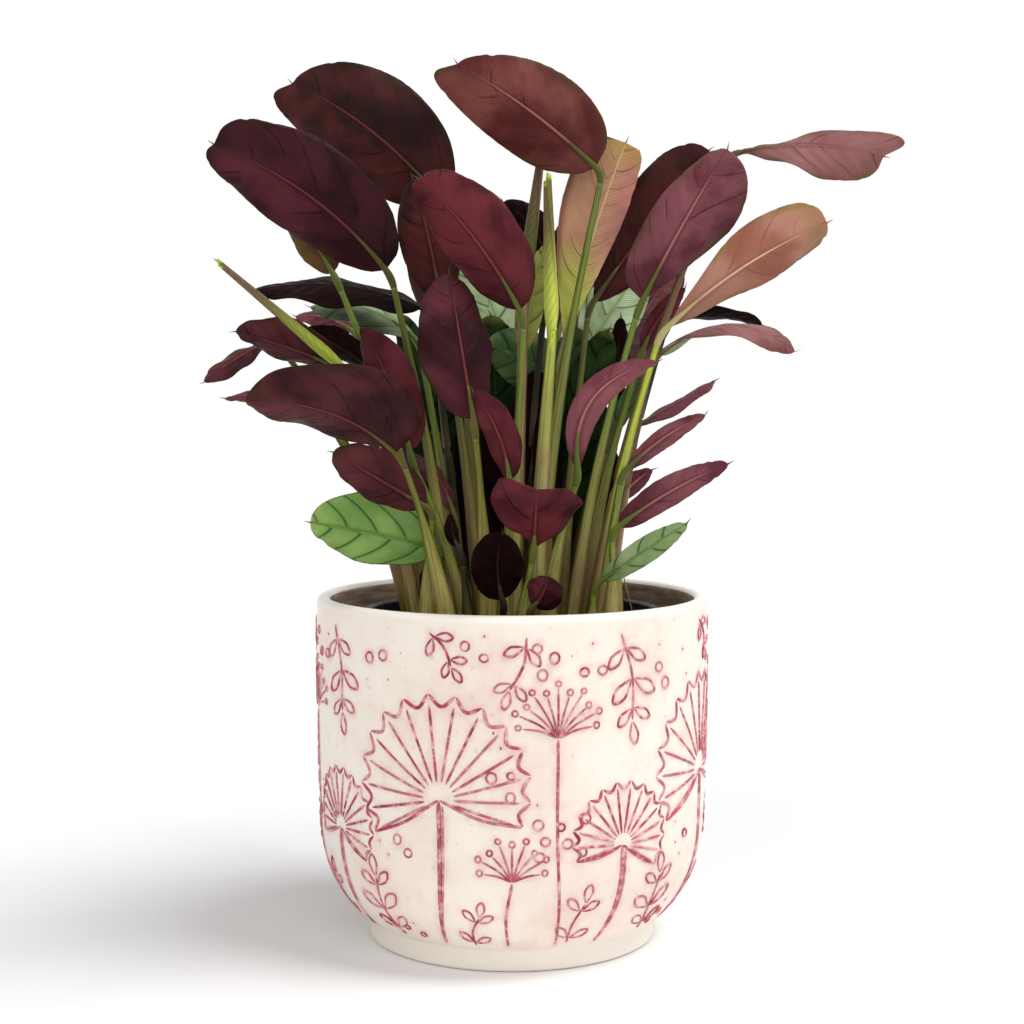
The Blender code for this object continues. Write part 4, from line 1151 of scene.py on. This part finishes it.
class Ornament:
    """Strokes and pads of the ornament, gathered before they are laid on the wall."""

    def __init__(self, seed):
        self.rng = random.Random(seed)
        self.strokes = []
        self.pads = []

    def stroke(self, places, width=1.3, closed=False, wash=None):
        wash = self.rng.uniform(0.45, 1.0) if wash is None else wash
        self.strokes.append((smooth_path(places), width * STROKE, closed, wash))

    def ring(self, middle, radius, width=1.0):
        squash = self.rng.uniform(0.85, 1.15)
        wash = self.rng.uniform(0.25, 1.0)
        places = []
        for step in range(13):
            angle = 2 * math.pi * step / 12
            places.append((middle[0] + radius * math.cos(angle),
                           middle[1] + radius * squash * math.sin(angle)))
        self.stroke(places, width, True, wash)
        self.pads.append((places[:-1], wash * 0.5))

    def leaflet(self, stem, tip, width):
        """Outline of a drop-shaped leaflet, with a washed inside."""
        stem, tip = Vector(stem), Vector(tip)
        ahead = tip - stem
        side = Vector((-ahead.y, ahead.x)).normalized() * width / 2
        left = [stem + ahead * share + side * reach for share, reach in LEAFLET_HALF]
        right = [stem + ahead * share - side * reach for share, reach in reversed(LEAFLET_HALF)]
        places = [stem] + left + [tip] + right + [stem]
        wash = self.rng.uniform(0.4, 1.0)
        self.stroke(places, 1.0, False, wash)
        self.pads.append((smooth_path(places)[:-1], wash * 0.7))

    def palm(self, hub, size, lean, foot):
        """A pleated palm fan on a stem: every rib ends in a point of its edge."""
        hub = Vector(hub)
        ribs = 15
        spread = math.radians(112)
        edge = []
        for step in range(ribs):
            angle = math.pi / 2 + lean + spread * (1 - 2 * step / (ribs - 1))
            ray = Vector((math.cos(angle), math.sin(angle)))
            reach = size * (1 - 0.16 * abs(1 - 2 * step / (ribs - 1)) ** 2)
            edge.append(hub + ray * reach)
            if step < ribs - 1:
                between = angle - spread / (ribs - 1)
                edge.append(hub + Vector((math.cos(between), math.sin(between))) * reach * 0.88)
            self.stroke([hub + ray * reach * share for share in (0.16, 0.55, 0.90)], 1.15)
        for side in (edge[0], edge[-1]):
            self.stroke([hub, hub.lerp(side, 0.5) - Vector((0, size * 0.05)), side], 1.3)
        for start in range(0, len(edge) - 2, 2):
            self.stroke(edge[start:start + 3], 1.5)
        middle = hub.lerp(Vector(foot), 0.5) + Vector((size * 0.05, 0))
        self.stroke([hub, middle, foot], 1.9, False, 0.7)
        self.stroke([hub + Vector((1.7, -2)), middle + Vector((1.5, 0)), foot], 1.0, False, 0.45)

    def umbel(self, hub, size, foot, rays=11):
        """A flat-topped seed head: rays that rise from the stem, each with its own little fruits."""
        hub = Vector(hub)
        for step in range(rays):
            share = 2 * step / (rays - 1) - 1
            angle = math.pi / 2 - share * math.radians(74)
            reach = size * (0.80 + 0.20 * math.cos(share * 1.2)) * (1 if step % 2 else 0.86)
            end = hub + Vector((math.cos(angle), math.sin(angle))) * reach
            bend = hub.lerp(end, 0.5) + Vector((0, size * 0.05))
            self.stroke([hub, bend, end], 0.9)
            self.ring(end + (end - hub).normalized() * 1.5, 1.15, 0.9)
        self.stroke([hub, hub.lerp(Vector(foot), 0.5) + Vector((-1.8, 0)), foot], 1.3)

    def frond(self, foot, top, pairs, size):
        """A sprig with leaflets in pairs, larger in its middle."""
        foot, top = Vector(foot), Vector(top)
        ahead = (top - foot).normalized()
        side = Vector((-ahead.y, ahead.x))
        bend = foot.lerp(top, 0.5) + side * size * 0.25
        spine = [foot, bend, top]
        self.stroke(spine, 1.15)
        path = smooth_path(spine)
        for pair in range(pairs):
            share = 0.2 + 0.68 * pair / max(1, pairs - 1)
            node = path[int(share * (len(path) - 1))]
            length = size * (0.75 + 0.5 * math.sin(math.pi * share))
            for hand in (-1, 1):
                tip = node + (ahead * 0.62 + side * hand * 0.85).normalized() * length
                self.leaflet(node + side * hand * 0.6, tip, length * 0.42)
        self.leaflet(top, top + ahead * size * 0.9, size * 0.4)

    def seeds(self, middle, spread, count):
        """Loose rings and dots, as many of the count as fit in without touching."""
        placed = []
        for _ in range(SEED_TRIES):
            spot = Vector((middle[0] + self.rng.uniform(-1, 1) * spread[0],
                           middle[1] + self.rng.uniform(-1, 1) * spread[1]))
            if len(placed) < count and all((spot - other).length > SEED_GAP for other in placed):
                placed.append(spot)
        for spot in placed:
            if self.rng.random() < 0.6:
                self.ring(spot, self.rng.uniform(1.5, 2.2), 0.9)
            else:
                self.stroke([spot + Vector((-0.5, 0)), spot + Vector((0.5, 0.3))], 1.8)


def draw_ornament():
    """The whole ornament: one group of plants, repeated round the wall with small changes."""
    ornament = Ornament("planter")
    width = 2 * math.pi * POT_RADIUS / REPEATS
    for repeat in range(REPEATS):
        left = (repeat - 0.5) * width
        jitter = ornament.rng.uniform(-3, 3)
        ornament.palm((left + 38, 74 + jitter), 44, 0.10, (left + 33, 3))
        ornament.umbel((left + 88, 98 - jitter), 21, (left + 92, 3))
        ornament.umbel((left + 69, 40 + jitter * 0.5), 17, (left + 67, 3), 9)
        ornament.palm((left + 118, 52 - jitter * 0.5), 27, -0.15, (left + 115, 2))
        ornament.frond((left + 116, 141), (left + 122, 104), 3, 11)
        ornament.frond((left + 75, 141), (left + 68, 119), 2, 9)
        ornament.frond((left + 8, 4), (left + 4, 36), 3, 11)
        ornament.frond((left + 50, 3), (left + 54, 22), 2, 9)
        ornament.frond((left + 34, 142), (left + 44, 128), 2, 8)
        ornament.frond((left + 98, 4), (left + 102, 28), 2, 10)
        ornament.seeds((left + 54, 136), (7, 5), 4)
        ornament.seeds((left + 84, 130), (5, 8), 3)
        ornament.seeds((left + 82, 62), (4, 16), 4)
        ornament.seeds((left + 18, 14), (5, 7), 3)
        ornament.seeds((left + 66, 88), (6, 17), 5)
        ornament.seeds((left + 100, 132), (9, 7), 4)
        ornament.seeds((left + 96, 60), (7, 12), 4)
        ornament.seeds((left + 10, 128), (12, 10), 5)
        ornament.seeds((left + 16, 48), (8, 9), 4)
    return ornament


def lay_bead(mesh, wall, path, width, closed, wash):
    """Add one raised line to the mesh lists."""
    points, faces, washes = mesh
    profile = ((-1.15, -0.12), (-0.7, 0.55), (0, 1), (0.7, 0.55), (1.15, -0.12))
    rows = []
    last = len(path) - 1
    for index, place in enumerate(path):
        ahead = path[min(index + 1, last)] - path[max(index - 1, 0)]
        if closed and index in (0, last):
            ahead = path[1] - path[-2]
        ahead.normalize()
        side = Vector((-ahead.y, ahead.x))
        taper = 1.0 if closed else min(1.0, 0.35 + index * 0.35, 0.35 + (last - index) * 0.35)
        sunk = not closed and index in (0, last)
        row = []
        for across, lift in profile:
            spot = place + side * across * width / 2 * taper
            height = -0.12 if sunk else lift * BEAD_LIFT * taper
            points.append(wall.place(spot.x, spot.y, height))
            washes.append(wash)
            row.append(len(points) - 1)
        rows.append(row)
    if closed:
        rows[-1] = rows[0]
    count = len(profile)
    for low, high in zip(rows, rows[1:]):
        for step in range(count):
            after = (step + 1) % count
            faces.append((low[step], low[after], high[after], high[step]))
    if not closed:
        faces.append(tuple(rows[0]))
        faces.append(tuple(rows[-1]))


def lay_pad(mesh, wall, outline, wash):
    """Add the slightly domed inside of a closed outline to the mesh lists."""
    points, faces, washes = mesh
    middle = sum((Vector(place) for place in outline), Vector((0, 0))) / len(outline)
    rows = []
    for share, lift in ((1.0, -0.3), (1.0, 0.0), (0.6, 0.16), (0.0, 0.2)):
        row = []
        for place in outline[:1] if share == 0 else outline:
            spot = middle.lerp(Vector(place), share)
            points.append(wall.place(spot.x, spot.y, lift))
            washes.append(wash * (0.9 if share == 1 else 0.45 if share else 0.3))
            row.append(len(points) - 1)
        rows.append(row)
    count = len(outline)
    for step in range(count):
        after = (step + 1) % count
        for low, high in ((rows[0], rows[1]), (rows[1], rows[2])):
            faces.append((low[step], low[after], high[after], high[step]))
        faces.append((rows[2][step], rows[2][after], rows[3][0]))
    faces.append(tuple(rows[0]))


def make_planter():
    """The glazed planter, its raised ornament and the wash that has run round each line."""
    wall = Wall()
    ornament = draw_ornament()
    beads, pads = ([], [], []), ([], [], [])
    for path, width, closed, wash in ornament.strokes:
        lay_bead(beads, wall, path, width, closed, wash)
    for outline, wash in ornament.pads:
        lay_pad(pads, wall, outline, wash)
    lines = KDTree(len(beads[0]))
    for index, point in enumerate(beads[0]):
        lines.insert(point, index)
    lines.balance()
    foot, outside, lip, inside = planter_outline()
    outline = foot + outside + lip + inside
    inner_start = len(foot) + len(outside) + len(lip) - 3

    def measures(points):
        halo, bare = [], []
        for point in points:
            near = lines.find(point)[2] if FOOT_HEIGHT < point[2] else 99
            halo.append(math.exp(-(near / HALO) ** 2))
            bare.append(1.0 if point[2] < FOOT_HEIGHT + 1 or point[2] > POT_HEIGHT - LIP_RADIUS else 0.0)
        return {"halo": halo, "bare": bare}

    slots = [int(index > inner_start) for index in range(len(outline))]
    glazes = [finish("outer_glaze"), finish("inner_glaze")]
    pot = lathe("planter_body", outline, POT_SEGMENTS, glazes, slots, measures)
    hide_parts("pot")
    relief = new_piece("planter_relief", beads[0], beads[1], [finish("wash_line")],
                       values={"wash": beads[2]})
    washed = new_piece("planter_wash", pads[0], pads[1], [finish("wash_pad")], None, {"wash": pads[2]})


# ---------------------------------------------------------------- growing pot and soil

def make_soil():
    """Rough peat with crumbs, bits of perlite and a few dead fibres."""
    rng = random.Random("soil")
    edge = NURSERY_RADIUS - NURSERY_WALL - FIT_GAP
    rings, segments = 44, 150
    points, rows = [], []
    for ring in range(rings + 1):
        radius = edge * ring / rings
        row = []
        for step in range(segments):
            angle = 2 * math.pi * step / segments
            x, y = radius * math.cos(angle), radius * math.sin(angle)
            rough = noise.fractal(Vector((x, y, 3)) / 7, 0.8, 2.2, 5)
            height = SOIL_TOP + 0.3 + rough * 1.6 * min(1, (edge - radius) / 3 + 0.2)
            points.append((x, y, height))
            row.append(len(points) - 1)
        rows.append(row)
    bottom = [len(points) + step for step in range(segments)]
    points += [(points[index][0], points[index][1], SOIL_TOP - 8) for index in rows[-1]]
    rows.append(bottom)
    faces = []
    for low, high in zip(rows, rows[1:]):
        for step in range(segments):
            after = (step + 1) % segments
            faces.append((low[step], low[after], high[after], high[step]))
    soil = new_piece("soil_fine", points, faces, [finish("peat")])
    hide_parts("soil")
    make_crumbs("soil_crumbs", 620, (0.8, 2.6), edge - 3, rng, finish("peat"))
    make_crumbs("soil_perlite", 34, (0.7, 1.5), edge - 5, rng, finish("perlite"))
    make_fibres()


def make_crumbs(name, count, sizes, edge, rng, material):
    """Scatter small uneven lumps over the soil, as one piece."""
    ball = bmesh.new()
    bmesh.ops.create_icosphere(ball, subdivisions=1, radius=1)
    corners = [corner.co.copy() for corner in ball.verts]
    sides = [tuple(corner.index for corner in face.verts) for face in ball.faces]
    ball.free()
    points, faces = [], []
    for _ in range(count):
        angle, radius = rng.uniform(0, 2 * math.pi), edge * math.sqrt(rng.random())
        size = rng.uniform(*sizes)
        middle = Vector((radius * math.cos(angle), radius * math.sin(angle), SOIL_TOP + 0.6))
        turned = Euler([rng.uniform(0, 6) for _ in range(3)]).to_matrix()
        first = len(points)
        for corner in corners:
            lump = Vector((corner.x, corner.y * 0.8, corner.z * 0.6)) * rng.uniform(0.75, 1.15)
            points.append(middle + turned @ lump * size)
        faces += [tuple(first + index for index in side) for side in sides]
    crumbs = new_piece(name, points, faces, [material])


def tube(path, radius, sides=6):
    """Points and faces of a thin tube with closed ends along a path."""
    points, faces = [], []
    for index, place in enumerate(path):
        ahead = path[min(index + 1, len(path) - 1)] - path[max(index - 1, 0)]
        ahead.normalize()
        side = ahead.cross(Vector((0.3, 0.9, 0.2))).normalized()
        out = side.cross(ahead)
        for step in range(sides):
            angle = 2 * math.pi * step / sides
            points.append(place + (side * math.cos(angle) + out * math.sin(angle)) * radius)
    for row in range(len(path) - 1):
        for step in range(sides):
            after = (step + 1) % sides
            low, high = row * sides, row * sides + sides
            faces.append((low + step, low + after, high + after, high + step))
    faces.append(tuple(reversed(range(sides))))
    faces.append(tuple(range(len(points) - sides, len(points))))
    return points, faces


def make_fibres():
    """Two dry fibres that stand up out of the peat near its right edge."""
    routes = (((53, -28, 141), (52, -29, 150), (50, -29, 158), (48, -28, 166)),
              ((44, -36, 141), (43.5, -36, 147), (42.5, -35, 153)))
    points, faces = [], []
    for route in routes:
        vectors = [Vector(place) for place in route]
        path = [vectors[0].lerp(vectors[1], 0)]
        for start, end in zip(vectors, vectors[1:]):
            path += [start.lerp(end, step / 5) for step in range(1, 6)]
        more, sides = tube(path, 0.28)
        first = len(points)
        points += more
        faces += [tuple(first + index for index in side) for side in sides]
    fibres = new_piece("soil_fibres", points, faces, [finish("fibre")])


def dress_nursery_pot():
    """Give the growing pot its plastic and a smooth rolled edge on its rim."""
    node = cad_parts["nursery_pot"]
    node.data.materials.clear()
    node.data.materials.append(finish("moulded_plastic"))
    outline = []
    middle = (NURSERY_RADIUS + 1.1, NURSERY_TOP - 0.7)
    for step in range(17):
        angle = 2 * math.pi * step / 16
        outline.append((middle[0] + 1.35 * math.cos(angle), middle[1] + 0.95 * math.sin(angle)))
    rim = lathe("nursery_rim_bead", outline, 160, [finish("moulded_plastic")])


# ---------------------------------------------------------------- stage

def make_floor():
    """A wide plain floor just below the planter's foot."""
    size = FLOOR_SIZE
    mesh = bpy.data.meshes.new("floor")
    corners = [(-size, -size, 0), (size, -size, 0), (size, size, 0), (-size, size, 0)]
    mesh.from_pydata(corners, [], [(0, 1, 2, 3)])
    mesh.materials.append(finish("floor"))
    floor = bpy.data.objects.new("floor", mesh)
    floor.location.z = -FLOOR_GAP * MM
    bpy.context.collection.objects.link(floor)


def make_lamp(name, azimuth, elevation, spread, strength):
    """A soft distant lamp; azimuth 0 is on the right, -90 at the front, and spread is its width."""
    data = bpy.data.lights.new(name, "SUN")
    data.energy = strength
    data.angle = math.radians(spread)
    lamp = bpy.data.objects.new(name, data)
    bpy.context.collection.objects.link(lamp)
    turned, raised = math.radians(azimuth), math.radians(elevation)
    level = math.cos(raised)
    towards = Vector((math.cos(turned) * level, math.sin(turned) * level, math.sin(raised)))
    lamp.rotation_euler = towards.to_track_quat("Z", "Y").to_euler()


def make_world():
    """White to the camera and in reflections, and a softer light on the object."""
    world = bpy.data.worlds.new("studio")
    bpy.context.scene.world = world
    world.use_nodes = True
    tree = world.node_tree
    tree.nodes.clear()
    output = tree.nodes.new("ShaderNodeOutputWorld")
    rays = tree.nodes.new("ShaderNodeLightPath")
    strength = tree.nodes.new("ShaderNodeMapRange")
    strength.inputs["To Min"].default_value = WORLD_LEVEL
    strength.inputs["To Max"].default_value = 1.0
    seen = rays.outputs["Is Camera Ray"]
    for kind in ("Is Glossy Ray", "Is Transmission Ray"):
        either = tree.nodes.new("ShaderNodeMath")
        either.operation = "MAXIMUM"
        tree.links.new(seen, either.inputs[0])
        tree.links.new(rays.outputs[kind], either.inputs[1])
        seen = either.outputs[0]
    tree.links.new(seen, strength.inputs["Value"])
    sky = tree.nodes.new("ShaderNodeBackground")
    sky.inputs["Color"].default_value = (1, 1, 1, 1)
    tree.links.new(strength.outputs["Result"], sky.inputs["Strength"])
    tree.links.new(sky.outputs[0], output.inputs["Surface"])


def make_camera():
    data = bpy.data.cameras.new("camera")
    data.lens = LENS
    data.sensor_width = SENSOR
    camera = bpy.data.objects.new("camera", data)
    camera.location = EYE * MM
    camera.rotation_euler = (math.radians(90 - PITCH), 0, 0)
    bpy.context.collection.objects.link(camera)
    bpy.context.scene.camera = camera


def main():
    bpy.context.scene.view_settings.view_transform = "Standard"
    make_camera()
    make_world()
    for name, lamp in LAMPS.items():
        make_lamp(name, *lamp)
    make_floor()
    make_planter()
    dress_nursery_pot()
    make_soil()
    for name, sizes in (LEAVES | SHADED_LEAVES).items():
        make_leaf(name, **sizes)
    for name, sizes in SPEARS.items():
        make_spear(name, **sizes)


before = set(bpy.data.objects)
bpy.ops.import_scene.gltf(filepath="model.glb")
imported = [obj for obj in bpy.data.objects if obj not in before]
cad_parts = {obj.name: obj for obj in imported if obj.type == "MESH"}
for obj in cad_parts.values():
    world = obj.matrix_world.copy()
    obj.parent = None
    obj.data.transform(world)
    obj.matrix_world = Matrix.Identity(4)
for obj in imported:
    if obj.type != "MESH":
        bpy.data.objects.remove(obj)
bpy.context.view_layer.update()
main()
